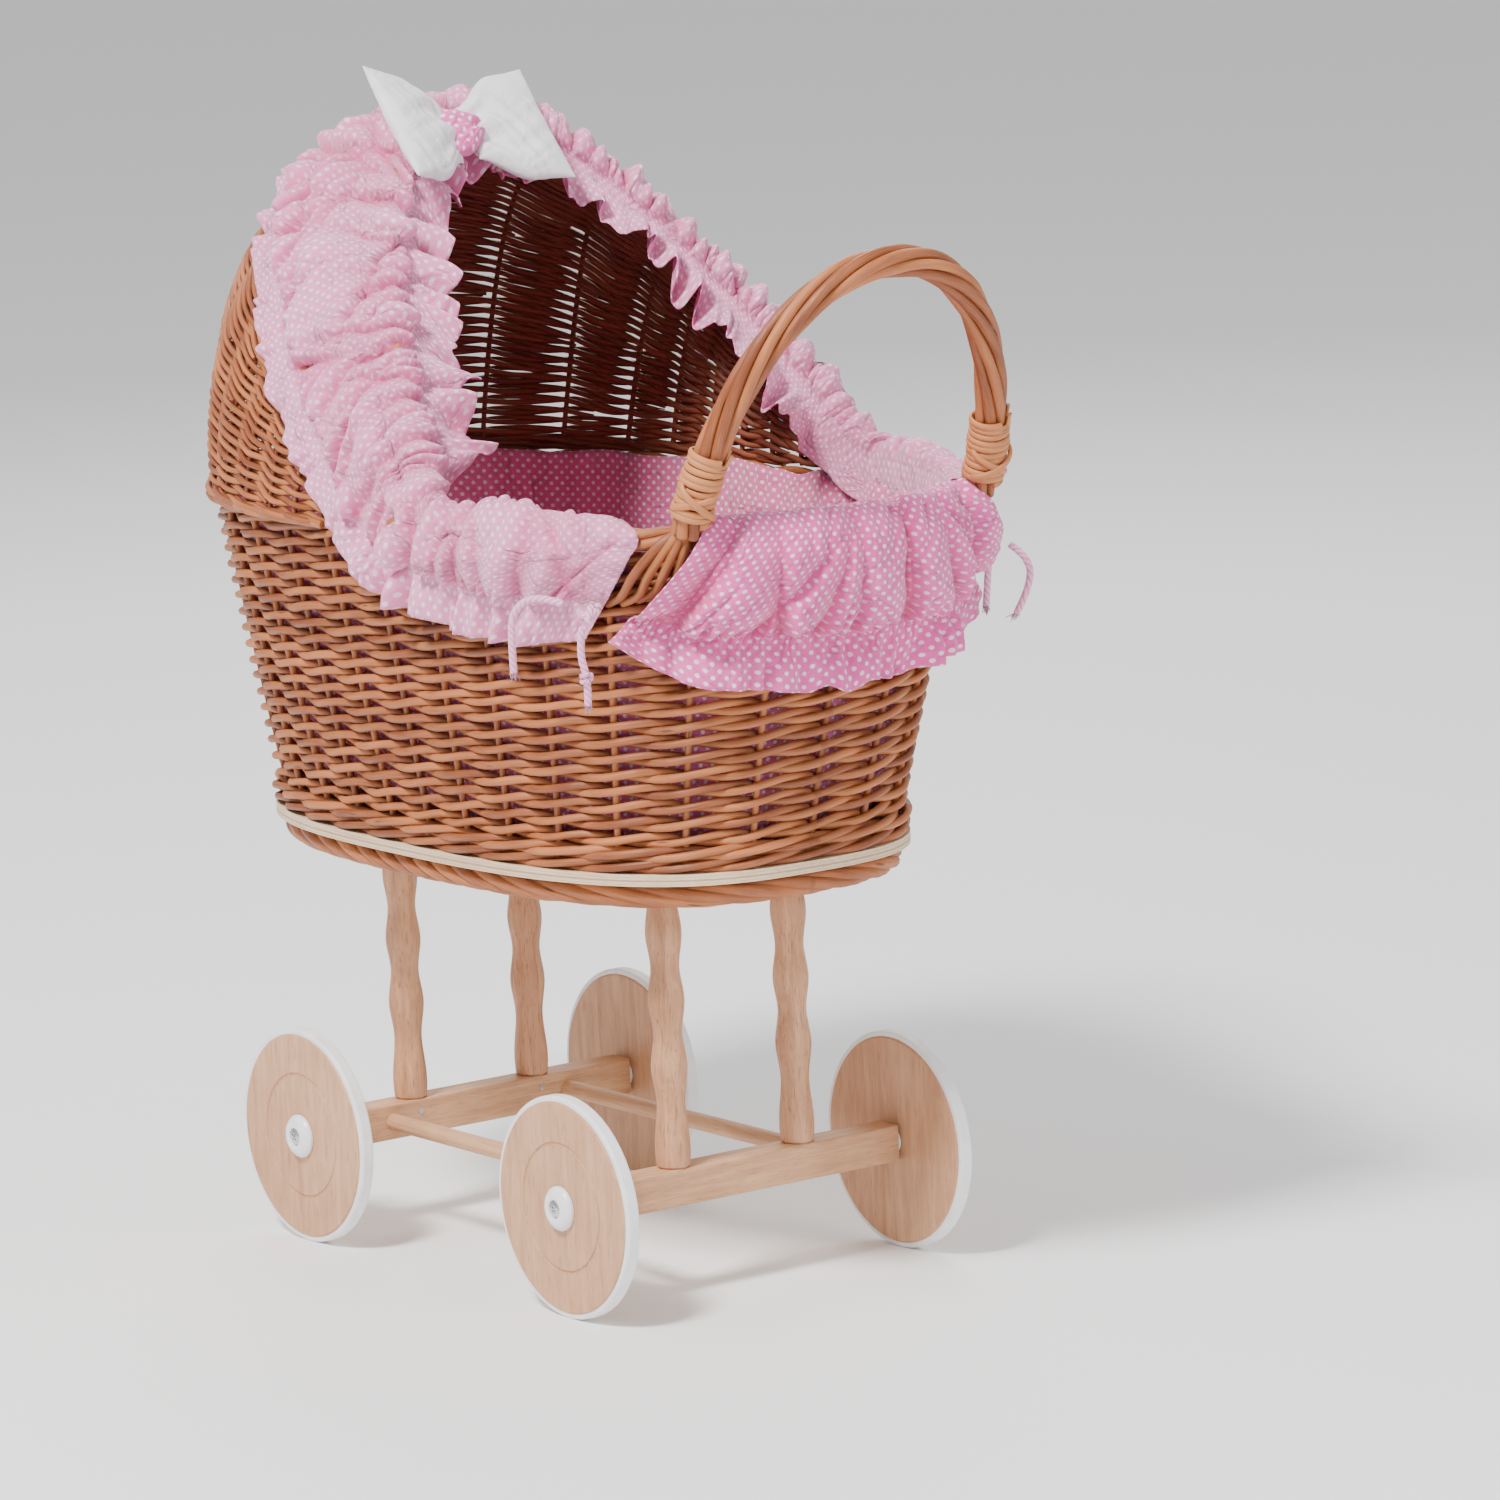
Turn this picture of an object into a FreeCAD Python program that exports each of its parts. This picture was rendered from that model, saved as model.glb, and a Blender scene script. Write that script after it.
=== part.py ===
import FreeCAD, Part
import math
import os

# Wicker doll pram, millimetres. The frame: +Z up from the floor, +X towards the foot end with its push
# handle, -X towards the hood, origin on the floor midway between the four wheels. "left" and "right" are
# those of a person who pushes it, so left is -Y.

os.makedirs("parts", exist_ok=True)
Vec = FreeCAD.Vector

# Wheels and their fastenings
wheel_radius = 62.5
tyre_thickness = 3.0
tyre_width = 8.0
wheel_thickness = 10.0
wheel_edge_bevel = 1.0
groove_radius = 36.0
groove_half_width = 1.1
groove_depth = 0.8
wheel_base = 262.0
track_width = 240.0
screw_radius = 2.5
screw_head_radius = 4.9
screw_head_height = 2.4
slot_width = 1.1
slot_length = 5.4
slot_depth = 1.4
screw_grip_in_beam = 24.0
screw_tip = 3.0
screw_tip_radius = 0.6
bore_clearance = 0.06
cap_radius = 12.5
cap_height = 5.0
cap_floor = 2.4
cap_clearance = 0.3
washer_radius = 8.0

# Wooden underframe
beam_width = 19.0
beam_height = 21.0
beam_length = 214.0
beam_edge_radius = 1.5
stretcher_radius = 5.0
stretcher_half_spacing = 62.0
stretcher_seat = 10.0
leg_half_spacing = 43.0
leg_tenon_radius = 5.0
leg_tenon_length = 12.0
leg_plain_radius = 9.4
leg_neck_radius = 8.1
leg_bulge_radius = 10.2
leg_plain_height = 39.0
leg_bead_pitch = 37.0
brad_radius = 0.8
brad_length = 14.0
brad_head_radius = 1.7
brad_head_height = 0.6
brad_rise = 3.5
base_screw_radius = 2.0
base_screw_head_radius = 4.0
base_screw_length = 34.0

# Base board and tub
board_bottom = 245.0
board_thickness = 6.5
board_half_length = 220.0
board_half_width = 127.0
board_power = 2.8
foot_border_height = 14.0
foot_border_inset = 4.0
foot_border_width = 16.0
wall_inset = 3.0
wall_thickness = 7.0
wall_top = 434.0
rim_front = 271.0
rim_rear = 249.5
rim_half_width = 160.0
rim_power = 2.5
wale_height = 15.0
wale_bulge = 1.5
stake_count = 30
stake_radius = 2.0
rim_border_height = 13.0
rim_border_outset = 3.0
rim_border_width = 15.0
rim_border_rear = 62.0

# Hood: rows fan out from a pivot line across the tub's rim
hood_pivot = 82.0
hood_edge_x = -98.0
hood_crown_x = -115.0
hood_height = 209.0
hood_profile_power = 2.3
hood_edge_half_width = 150.0
hood_mid_bulge = 0.09
hood_rim_powers = (2.9, 2.9)
hood_edge_powers = (1.25, 2.0)
hood_sweep = 80.0
edge_border_radius = 6.5

# Push handle
handle_foot_outset = 12.38
handle_half_span = 98.5
handle_base = 445.3
handle_rise = 150.9
handle_lean = 22.7
handle_power = 2.08
handle_radius = 9.0
binding_length = 38.0
binding_thickness = 2.0
tail_radius = 5.0
rim_share_at_handle = 1 - (handle_half_span / rim_half_width) ** rim_power
handle_foot_x = rim_front * rim_share_at_handle ** (1 / rim_power) + handle_foot_outset
handle_angle = math.degrees(math.atan2(handle_half_span, handle_foot_x))
tail_steps = ((-0.1, 450.0), (0.9, 443.0), (2.1, 436.0), (3.7, 428.0), (5.5, 419.0))
foot_valance_edge = (handle_angle + 8.3, handle_angle - 4.2)
side_valance_edge = (handle_angle + 12.8, handle_angle + 5.8)

# Textiles
fabric_gap = 0.4
lining_thickness = 1.5
lining_top = 431.0
fabric_thickness = 2.0
foot_hem_height = 357.0
side_hem_height = 384.0
valance_stand_off = 12.5
hood_band_crown = 95.0
hood_band_side = 70.0
hood_band_sweep = 74.0
border_clearance = 2.6
ruffle_depth = 28.0
bow_loop_half = (29.0, 27.0, 8.5)
bow_knot_half = (11.0, 15.0, 8.0)
bow_spread = 34.0
bow_side_shift = -26.0
bow_drop = 24.0
tie_radius = 2.0
tie_knot_radius = 6.0

touch_gap = 0.3

# Derived sizes
axle_x = wheel_base / 2
axle_height = wheel_radius
outer_face = track_width / 2
inner_face = outer_face - wheel_thickness
disc_radius = wheel_radius - tyre_thickness
beam_end = beam_length / 2
beam_top = axle_height + beam_height / 2
board_top = board_bottom + board_thickness
wall_foot = board_top
rim_border_top = wall_top + rim_border_height
hood_top_angle = math.atan2(hood_height * 0.995, hood_pivot - hood_edge_x)
far_away = 2000.0


def save(name, shapes):
    # Writes one node, after a look that each of its solids is sound.
    solids = [solid for shape in shapes for solid in shape.Solids]
    for solid in solids:
        if not solid.isValid() or solid.Volume <= 0:
            print("UNSOUND SOLID IN", name)
    shape = solids[0] if len(solids) == 1 else Part.makeCompound(solids)
    shape.exportStep("parts/%s.step" % name)
    box = shape.BoundBox
    print("%-24s %2d %10.0f mm3  x %.0f..%.0f  y %.0f..%.0f  z %.0f..%.0f" % (
        name, len(solids), shape.Volume, box.XMin, box.XMax, box.YMin, box.YMax, box.ZMin, box.ZMax))
    return shape


def cylinder(radius, start, end):
    axis = end - start
    return Part.makeCylinder(radius, axis.Length, start, axis)


def turned(start, steps, origin, direction):
    # Solid of revolution. start and steps are (radius, height); a step of four numbers is an arc
    # through its first point to its second.
    edges = []
    here = Vec(start[0], 0, start[1])
    for step in list(steps) + [start]:
        there = Vec(step[-2], 0, step[-1])
        if len(step) == 4:
            edges.append(Part.Arc(here, Vec(step[0], 0, step[1]), there).toShape())
        elif (there - here).Length > 1e-6:
            edges.append(Part.makeLine(here, there))
        here = there
    solid = Part.Face(Part.Wire(edges)).revolve(Vec(0, 0, 0), Vec(0, 0, 1), 360)
    solid.Placement = FreeCAD.Placement(origin, FreeCAD.Rotation(Vec(0, 0, 1), direction))
    return solid


def smooth_curve(points, closed=False):
    curve = Part.BSplineCurve()
    curve.interpolate(Points=points, PeriodicFlag=closed)
    return curve


def rod_along(points, radius):
    # Round rod whose centre line passes smoothly through the points.
    path = smooth_curve(points).toShape()
    start = path.tangentAt(path.FirstParameter)
    circle = Part.Wire(Part.makeCircle(radius, points[0], start))
    return Part.Wire(path).makePipeShell([circle], True, False)


def draped_surface(poles, degree=2):
    # Smooth surface drawn towards a grid of points, which it never overshoots.
    def knots(count):
        inner = count - degree - 1
        values = list(range(inner + 2))
        mults = [degree + 1] + [1] * inner + [degree + 1]
        return values, mults

    rows, row_mults = knots(len(poles))
    columns, column_mults = knots(len(poles[0]))
    surface = Part.BSplineSurface()
    surface.buildFromPolesMultsKnots(poles, row_mults, column_mults, rows, columns, False, False,
                                     degree, degree)
    return surface


def skin_solid(outer, inner):
    # Closed solid between two surfaces whose point grids are of equal size.
    surfaces = [draped_surface(outer), draped_surface(inner)]
    faces = [surface.toShape() for surface in surfaces]
    borders = []
    for surface in surfaces:
        first_u, last_u, first_v, last_v = surface.bounds()
        borders.append([
            surface.uIso(first_u).toShape(),
            surface.uIso(last_u).toShape(),
            surface.vIso(first_v).toShape(),
            surface.vIso(last_v).toShape(),
        ])
    for near, far in zip(borders[0], borders[1]):
        faces.append(Part.makeRuledSurface(near, far, 1))
    shell = Part.makeShell(faces)
    shell.sewShape()
    solid = Part.Solid(shell.Shells[0] if shell.Shells else Part.Shell(shell.Faces))
    if solid.Volume < 0:
        solid.reverse()
    return solid


def oval_reach(angle, front, rear, half_width, power):
    # Distance from the centre to a rounded oval that is longer at one end than at the other.
    cosine = math.cos(angle)
    length = front if cosine > 0 else rear
    total = abs(cosine / length) ** power + abs(math.sin(angle) / half_width) ** power
    return total ** (-1 / power)


def blend(low, high, share):
    return low + (high - low) * share


def wall_point(angle, height, offset=0.0):
    # Point on the tub's outer face, or offset millimetres outside it.
    share = (height - wall_foot) / (wall_top - wall_foot)
    flare = math.copysign(abs(share) ** 1.15, share)
    front = blend(board_half_length - wall_inset, rim_front, flare) + offset
    rear = blend(board_half_length - wall_inset, rim_rear, share) + offset
    half_width = blend(board_half_width - wall_inset, rim_half_width, share) + offset
    power = blend(board_power, rim_power, share)
    reach = oval_reach(angle, front, rear, half_width, power)
    return Vec(reach * math.cos(angle), reach * math.sin(angle), height)


def rim_point(angle, height, offset=0.0):
    # The rim's oval, at any height.
    point = wall_point(angle, wall_top, offset)
    return Vec(point.x, point.y, height)


def rim_side_point(angle, height, offset=0.0):
    # The tub's wall, carried straight up above its top.
    return (rim_point if height > wall_top else wall_point)(angle, height, offset)


def board_point(angle, height, offset=0.0):
    reach = oval_reach(angle, board_half_length + offset, board_half_length + offset,
                       board_half_width + offset, board_power)
    return Vec(reach * math.cos(angle), reach * math.sin(angle), height)


def closed_wire(point_at, height, offset, count=48):
    points = [point_at(2 * math.pi * k / count, height, offset) for k in range(count)]
    return Part.Wire(smooth_curve(points, closed=True).toShape())


def ring(point_at, heights, outer_offset, inner_offset):
    # Ring between two offsets of an oval, lofted through the heights.
    outer = Part.makeLoft([closed_wire(point_at, h, outer_offset) for h in heights], True)
    step = 2.0
    inner_heights = [heights[0] - step] + list(heights[1:-1]) + [heights[-1] + step]
    inner = Part.makeLoft([closed_wire(point_at, h, inner_offset) for h in inner_heights], True)
    return outer.cut(inner)


def slab(low_x, high_x, low_z, high_z):
    # Box that is wider than the pram, to cut with.
    return Part.makeBox(high_x - low_x, 2 * far_away, high_z - low_z, Vec(low_x, -far_away, low_z))


def solve(rises, low, high):
    # Where a function that rises through zero crosses it.
    for _ in range(50):
        middle = (low + high) / 2
        if rises(middle) > 0:
            high = middle
        else:
            low = middle
    return low


def hood_crown_reach(tilt):
    # Distance from the pivot line to the hood's crown profile, in the plane that leans by tilt.
    def outside(reach):
        x = hood_pivot - reach * math.cos(tilt)
        rise = reach * math.sin(tilt)
        back = max(hood_crown_x - x, 0) / (hood_crown_x + rim_rear)
        return back ** hood_profile_power + (rise / hood_height) ** hood_profile_power - 1

    return solve(outside, 50.0, 600.0)


def rim_reach(sweep):
    # Distance from the pivot to the tub's rim, level.
    def outside(reach):
        x = hood_pivot - reach * math.cos(sweep)
        y = reach * math.sin(sweep)
        length = rim_front if x > 0 else rim_rear
        return abs(x / length) ** rim_power + abs(y / rim_half_width) ** rim_power - 1

    return solve(outside, 10.0, 600.0)


def hood_point(share, sweep, offset=0.0, forward=0.0):
    # Point on the hood. share 0 is the rim and 1 the opening edge; sweep turns in the leaning plane from
    # the crown line (0) to a pivot end; offset is outwards, forward is square to the leaning plane.
    tilt = hood_top_angle * share
    crown = hood_crown_reach(tilt) + offset
    pivot_half_width = rim_reach(math.pi / 2)
    half_width = blend(pivot_half_width, hood_edge_half_width, share) + offset
    crown_power = blend(hood_rim_powers[0], hood_edge_powers[0], share ** 2.2)
    side_power = blend(hood_rim_powers[1], hood_edge_powers[1], share)
    cosine = math.cos(sweep)
    sine = math.sin(sweep)

    def outside(reach):
        return abs(reach * cosine / crown) ** crown_power + abs(reach * sine / half_width) ** side_power - 1

    reach = solve(outside, 1.0, 600.0)
    rim_share = (1 - share) ** 4
    reach = blend(reach, rim_reach(sweep) + offset, rim_share)
    bulge = 1 + hood_mid_bulge * 4 * share * (1 - share) * cosine ** 2
    level = reach * cosine
    return Vec(
        hood_pivot - level * math.cos(tilt) + forward * math.sin(tilt),
        reach * sine * bulge,
        wall_top + level * math.sin(tilt) + forward * math.cos(tilt),
    )


def spread(low, high, count):
    return [blend(low, high, k / (count - 1)) for k in range(count)]


def make_wheels():
    # Four wheels, their screws, caps and washers. Each turns on the plain shank of its screw.
    for end, x in (("head", -axle_x), ("foot", axle_x)):
        for side, sign in (("left", -1), ("right", 1)):
            out = Vec(0, sign, 0)
            hub = Vec(x, sign * inner_face, axle_height)
            bore = screw_radius + bore_clearance
            top = wheel_thickness
            disc = turned((bore, 0), [
                (disc_radius - wheel_edge_bevel, 0),
                (disc_radius, wheel_edge_bevel),
                (disc_radius, top - wheel_edge_bevel),
                (disc_radius - wheel_edge_bevel, top),
                (groove_radius + groove_half_width, top),
                (groove_radius, top - groove_depth, groove_radius - groove_half_width, top),
                (bore, top),
            ], hub, out)
            save("wheel_disc_%s_%s" % (end, side), [disc])

            low = (wheel_thickness - tyre_width) / 2
            high = low + tyre_width
            shoulder = wheel_radius - tyre_thickness / 2
            tyre = turned((disc_radius, low), [
                (shoulder, low),
                (wheel_radius - 0.4, low + 0.5, wheel_radius, low + 1.6),
                (wheel_radius, high - 1.6),
                (wheel_radius - 0.4, high - 0.5, shoulder, high),
                (disc_radius, high),
            ], hub, out)
            save("tyre_%s_%s" % (end, side), [tyre])

            seat = Vec(x, sign * (outer_face + cap_clearance), axle_height)
            hole = screw_radius + 0.1
            pocket = screw_head_radius + 0.4
            cap = turned((hole, 0), [
                (cap_radius, 0),
                (cap_radius, 1.4),
                (cap_radius - 2.3, 3.9, pocket + 1.0, cap_height),
                (pocket, cap_height - 0.4),
                (pocket, cap_floor),
                (hole, cap_floor),
            ], seat, out)
            save("hub_cap_%s_%s" % (end, side), [cap])

            tip = beam_end - screw_grip_in_beam - outer_face - cap_clearance
            head_top = cap_floor + screw_head_height
            screw = turned((0, tip - screw_tip), [
                (screw_tip_radius, tip - screw_tip),
                (screw_radius, tip),
                (screw_radius, cap_floor),
                (screw_head_radius, cap_floor),
                (screw_head_radius, cap_floor + 0.8),
                (screw_head_radius * 0.7, head_top - 0.4, screw_head_radius * 0.3, head_top),
                (0, head_top),
            ], seat, out)
            for turn in (45, 135):
                slot = Part.makeBox(slot_width, slot_length, 2 * slot_depth,
                                    Vec(-slot_width / 2, -slot_length / 2, head_top - slot_depth))
                slot.rotate(Vec(0, 0, 0), Vec(0, 0, 1), turn)
                slot.Placement = FreeCAD.Placement(seat, FreeCAD.Rotation(Vec(0, 0, 1), out)).multiply(
                    slot.Placement)
                screw = screw.cut(slot)
            save("axle_screw_%s_%s" % (end, side), [screw])

            washer = turned((hole, 0), [
                (washer_radius, 0),
                (washer_radius, inner_face - beam_end - cap_clearance),
                (hole, inner_face - beam_end - cap_clearance),
            ], Vec(x, sign * beam_end, axle_height), out)
            save("spacer_washer_%s_%s" % (end, side), [washer])


def make_leg(x, y):
    # Turned leg: a tenon, a plain lower end with a small bevel, then beads up to the board.
    foot = beam_top
    plain_top = foot + leg_plain_height
    profile = [Vec(leg_plain_radius, 0, foot + 1.2), Vec(leg_plain_radius + 0.2, 0, foot + 18)]
    height = plain_top
    while height < board_bottom - 8:
        profile.append(Vec(leg_neck_radius, 0, height))
        crest = height + leg_bead_pitch / 2
        if crest < board_bottom - 8:
            profile.append(Vec(leg_bulge_radius, 0, crest))
        height += leg_bead_pitch
    profile.append(Vec(leg_bulge_radius, 0, board_bottom))
    edges = [
        Part.makeLine(Vec(0, 0, foot - leg_tenon_length), Vec(leg_tenon_radius, 0, foot - leg_tenon_length)),
        Part.makeLine(Vec(leg_tenon_radius, 0, foot - leg_tenon_length), Vec(leg_tenon_radius, 0, foot)),
        Part.makeLine(Vec(leg_tenon_radius, 0, foot), Vec(leg_plain_radius - 1.2, 0, foot)),
        Part.makeLine(Vec(leg_plain_radius - 1.2, 0, foot), profile[0]),
        smooth_curve(profile).toShape(),
        Part.makeLine(profile[-1], Vec(0, 0, board_bottom)),
        Part.makeLine(Vec(0, 0, board_bottom), Vec(0, 0, foot - leg_tenon_length)),
    ]
    leg = Part.Face(Part.Wire(edges)).revolve(Vec(0, 0, 0), Vec(0, 0, 1), 360)
    leg.translate(Vec(x, y, 0))
    return leg


def make_underframe():
    brads = []
    brad_holes = {}
    leg_spots = [(x, y) for x in (-axle_x, axle_x) for y in (-leg_half_spacing, leg_half_spacing)]
    for x, y in leg_spots:
        inward = -math.copysign(1, x)
        face_x = x + inward * beam_width / 2
        height = axle_height + brad_rise
        start = Vec(face_x, y, height)
        shank = cylinder(brad_radius, start, start - Vec(inward * brad_length, 0, 0))
        head = cylinder(brad_head_radius, start, start + Vec(inward * brad_head_height, 0, 0))
        brads.append(shank.fuse(head))
        brad_holes[(x, y)] = shank
    save("leg_brads", brads)

    screws = []
    for x, y in leg_spots:
        top = Vec(x, y, board_top)
        shank = cylinder(base_screw_radius, top, top - Vec(0, 0, base_screw_length))
        sink = Part.makeCone(base_screw_radius, base_screw_head_radius,
                             base_screw_head_radius - base_screw_radius,
                             top - Vec(0, 0, base_screw_head_radius - base_screw_radius))
        screws.append(shank.fuse(sink))
    save("base_screws", screws)

    names = {(-1, -1): "leg_head_left", (-1, 1): "leg_head_right",
             (1, -1): "leg_foot_left", (1, 1): "leg_foot_right"}
    for (x, y), screw in zip(leg_spots, screws):
        leg = make_leg(x, y).cut(brad_holes[(x, y)]).cut(screw)
        save(names[(math.copysign(1, x), math.copysign(1, y))], [leg])

    for end, x in (("head", -axle_x), ("foot", axle_x)):
        beam = Part.makeBox(beam_width, beam_length, beam_height,
                            Vec(x - beam_width / 2, -beam_end, axle_height - beam_height / 2))
        long_edges = [e for e in beam.Edges if abs(e.Length - beam_length) < 0.1]
        beam = beam.makeFillet(beam_edge_radius, long_edges)
        inward = -math.copysign(1, x)
        for sign in (-1, 1):
            shank_end = sign * (beam_end - screw_grip_in_beam)
            beam = beam.cut(cylinder(screw_radius, Vec(x, sign * (beam_end + 1), axle_height),
                                     Vec(x, shank_end, axle_height)))
            tip_cone = Part.makeCone(screw_radius, screw_tip_radius, screw_tip, Vec(x, shank_end, axle_height),
                                     Vec(0, -sign, 0))
            beam = beam.cut(tip_cone)
            seat_face = x + inward * beam_width / 2
            seat = Vec(seat_face - inward * stretcher_seat, sign * stretcher_half_spacing, axle_height)
            beam = beam.cut(cylinder(stretcher_radius, seat, seat + Vec(inward * 30, 0, 0)))
            leg_foot = Vec(x, sign * leg_half_spacing, beam_top - leg_tenon_length)
            beam = beam.cut(cylinder(leg_tenon_radius, leg_foot, leg_foot + Vec(0, 0, 30)))
            beam = beam.cut(brad_holes[(x, sign * leg_half_spacing)])
        save("%s_axle_beam" % end, [beam])

    half = axle_x - beam_width / 2 + stretcher_seat
    for side, sign in (("left", -1), ("right", 1)):
        y = sign * stretcher_half_spacing
        save("stretcher_%s" % side, [cylinder(stretcher_radius, Vec(-half, y, axle_height),
                                              Vec(half, y, axle_height))])
    return screws


def make_base(base_screws):
    board = Part.Face(closed_wire(board_point, board_bottom, 0)).extrude(Vec(0, 0, board_thickness))
    stakes = []
    for k in range(stake_count):
        foot = wall_point(2 * math.pi * (k + 0.5) / stake_count, wall_foot, -wall_thickness / 2)
        stakes.append(cylinder(stake_radius, Vec(foot.x, foot.y, board_bottom), foot))
    board = board.cut(Part.makeCompound(stakes + base_screws))
    save("base_board", [board])
    save("wall_stakes", stakes)
    save("foot_border", [ring(board_point, (board_bottom - foot_border_height, board_bottom - 7.0,
                                            board_bottom),
                              -foot_border_inset, -foot_border_inset - foot_border_width)
                         .common(slab(-far_away, far_away, 0, board_bottom))])


def make_tub():
    wale_top = board_top + wale_height
    save("bottom_wale", [ring(wall_point, (board_top, wale_top), wale_bulge, -wall_thickness)])
    save("basket_wall", [ring(wall_point, spread(wale_top, wall_top, 5), 0, -wall_thickness)])
    rim = Part.Face(closed_wire(rim_point, wall_top, rim_border_outset))
    rim = rim.extrude(Vec(0, 0, rim_border_height))
    hole = Part.Face(closed_wire(rim_point, wall_top - 1, rim_border_outset - rim_border_width))
    rim = rim.cut(hole.extrude(Vec(0, 0, rim_border_height + 2)))
    rim = rim.cut(slab(-far_away, rim_border_rear, 0, far_away))
    save("rim_border", [rim])
    return rim


def make_hood():
    sweeps = [math.radians(a) for a in spread(-hood_sweep, hood_sweep, 33)]
    shares = spread(0, 1, 13)
    outer = [[hood_point(share, sweep) for sweep in sweeps] for share in shares]
    inner = [[hood_point(share, sweep, -wall_thickness) for sweep in sweeps] for share in shares]
    shell = skin_solid(outer, inner)
    shell = shell.cut(slab(rim_border_rear - touch_gap, far_away, 0, far_away))
    save("hood_weave", [shell])

    path = [hood_point(1, math.radians(a), -wall_thickness / 2, edge_border_radius + touch_gap)
            for a in spread(-86, 86, 25)]
    border = rod_along(path, edge_border_radius)
    border = border.cut(slab(-far_away, far_away, 0, rim_border_top + touch_gap))
    save("hood_edge_border", [border])


def handle_point(turn, scale=1.0):
    # turn runs from 0 at one foot to pi at the other.
    side = -math.cos(turn)
    rise = math.sin(turn) ** (2 / handle_power)
    y = math.copysign(abs(side) ** (2 / handle_power), side) * handle_half_span
    lean = math.radians(handle_lean)
    return Vec(
        handle_foot_x + handle_rise * rise * math.sin(lean) * scale,
        y,
        handle_base + handle_rise * rise * math.cos(lean) * scale,
    )


def make_handle(rim):
    turns = [math.pi * k / 24 for k in range(25)]
    path = [handle_point(turn) for turn in turns]
    floor = slab(-far_away, far_away, 0, rim_border_top + touch_gap)
    arch = rod_along(path, handle_radius).cut(floor)
    save("handle_arch", [arch])

    length_here = [0.0]
    fine = [handle_point(math.pi * k / 400) for k in range(200)]
    for a, b in zip(fine, fine[1:]):
        length_here.append(length_here[-1] + (b - a).Length)
    near = [p for p, run in zip(fine, length_here) if run <= binding_length + 8]
    picked = [near[round(k * (len(near) - 1) / 6)] for k in range(7)]
    sleeve = rod_along(picked, handle_radius + binding_thickness + touch_gap)
    core = rod_along(picked, handle_radius + touch_gap)
    binding_floor = slab(-far_away, far_away, 0, rim_border_top + 6)
    sleeve = sleeve.cut(core).cut(binding_floor)
    mirror = FreeCAD.Matrix(1, 0, 0, 0, 0, -1, 0, 0, 0, 0, 1, 0, 0, 0, 0, 1)
    save("handle_binding_left", [sleeve])
    save("handle_binding_right", [sleeve.transformGeometry(mirror)])

    tail_path = [wall_point(-math.radians(handle_angle + a), z, tail_radius + rim_border_outset + touch_gap)
                 for a, z in tail_steps]
    tail = rod_along(tail_path, tail_radius)
    tail = tail.cut(slab(-far_away, far_away, rim_border_top, far_away)).cut(rim)
    save("handle_tails_left", [tail])
    save("handle_tails_right", [tail.transformGeometry(mirror)])


def over_rim(edge_angles, far_angle, hem_height, sign):
    # Fabric over the rim border: hem outside, up, over the border and a little way down inside. Each
    # entry is offset from the wall, height, and its share of the way from hem to rim.
    top = rim_border_top
    flap = -(rim_border_width - rim_border_outset) - 2.5
    rise = top - hem_height
    inner_line = [
        (valance_stand_off, hem_height, 0.0),
        (valance_stand_off - 2.5, hem_height + 0.30 * rise, 0.30),
        (valance_stand_off - 5.0, hem_height + 0.65 * rise, 0.65),
        (rim_border_outset + 3.5, top - 4, 0.95),
        (rim_border_outset + 1.2, top + 2.4, 1.0),
        (-4.5, top + 2.6, 1.0),
        (flap + 2.2, top + 2.4, 1.0),
        (flap, top - 3, 1.0),
        (flap, top - 12, 1.0),
    ]
    outward = [(1, 0), (1, 0.1), (1, 0.2), (0.9, 0.5), (0.6, 0.9), (0, 1), (-0.6, 0.9), (-1, 0.3), (-1, 0)]
    inner = []
    outer = []
    for (offset, height, share), (across, up) in zip(inner_line, outward):
        near = blend(edge_angles[0], edge_angles[1], share)
        far = -near if far_angle is None else far_angle
        angles = [math.radians(sign * a) for a in spread(near, far, 15)]
        inner.append([rim_side_point(a, height, offset) for a in angles])
        outer.append([rim_side_point(a, height + up * fabric_thickness, offset + across * fabric_thickness)
                      for a in angles])
    return skin_solid(outer, inner)


def hood_band_point(sweep, distance, offset):
    # Walks from the opening edge down the outside of the hood, then down the tub's wall.
    steps = 24
    line = [hood_point(1 - k / steps, sweep, offset) for k in range(steps + 1)]
    walked = 0.0
    for a, b in zip(line, line[1:]):
        run = (b - a).Length
        if walked + run >= distance:
            return a + (b - a) * ((distance - walked) / run)
        walked += run
    foot = line[-1]
    return wall_point(math.atan2(foot.y, foot.x), foot.z - (distance - walked), offset)


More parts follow.
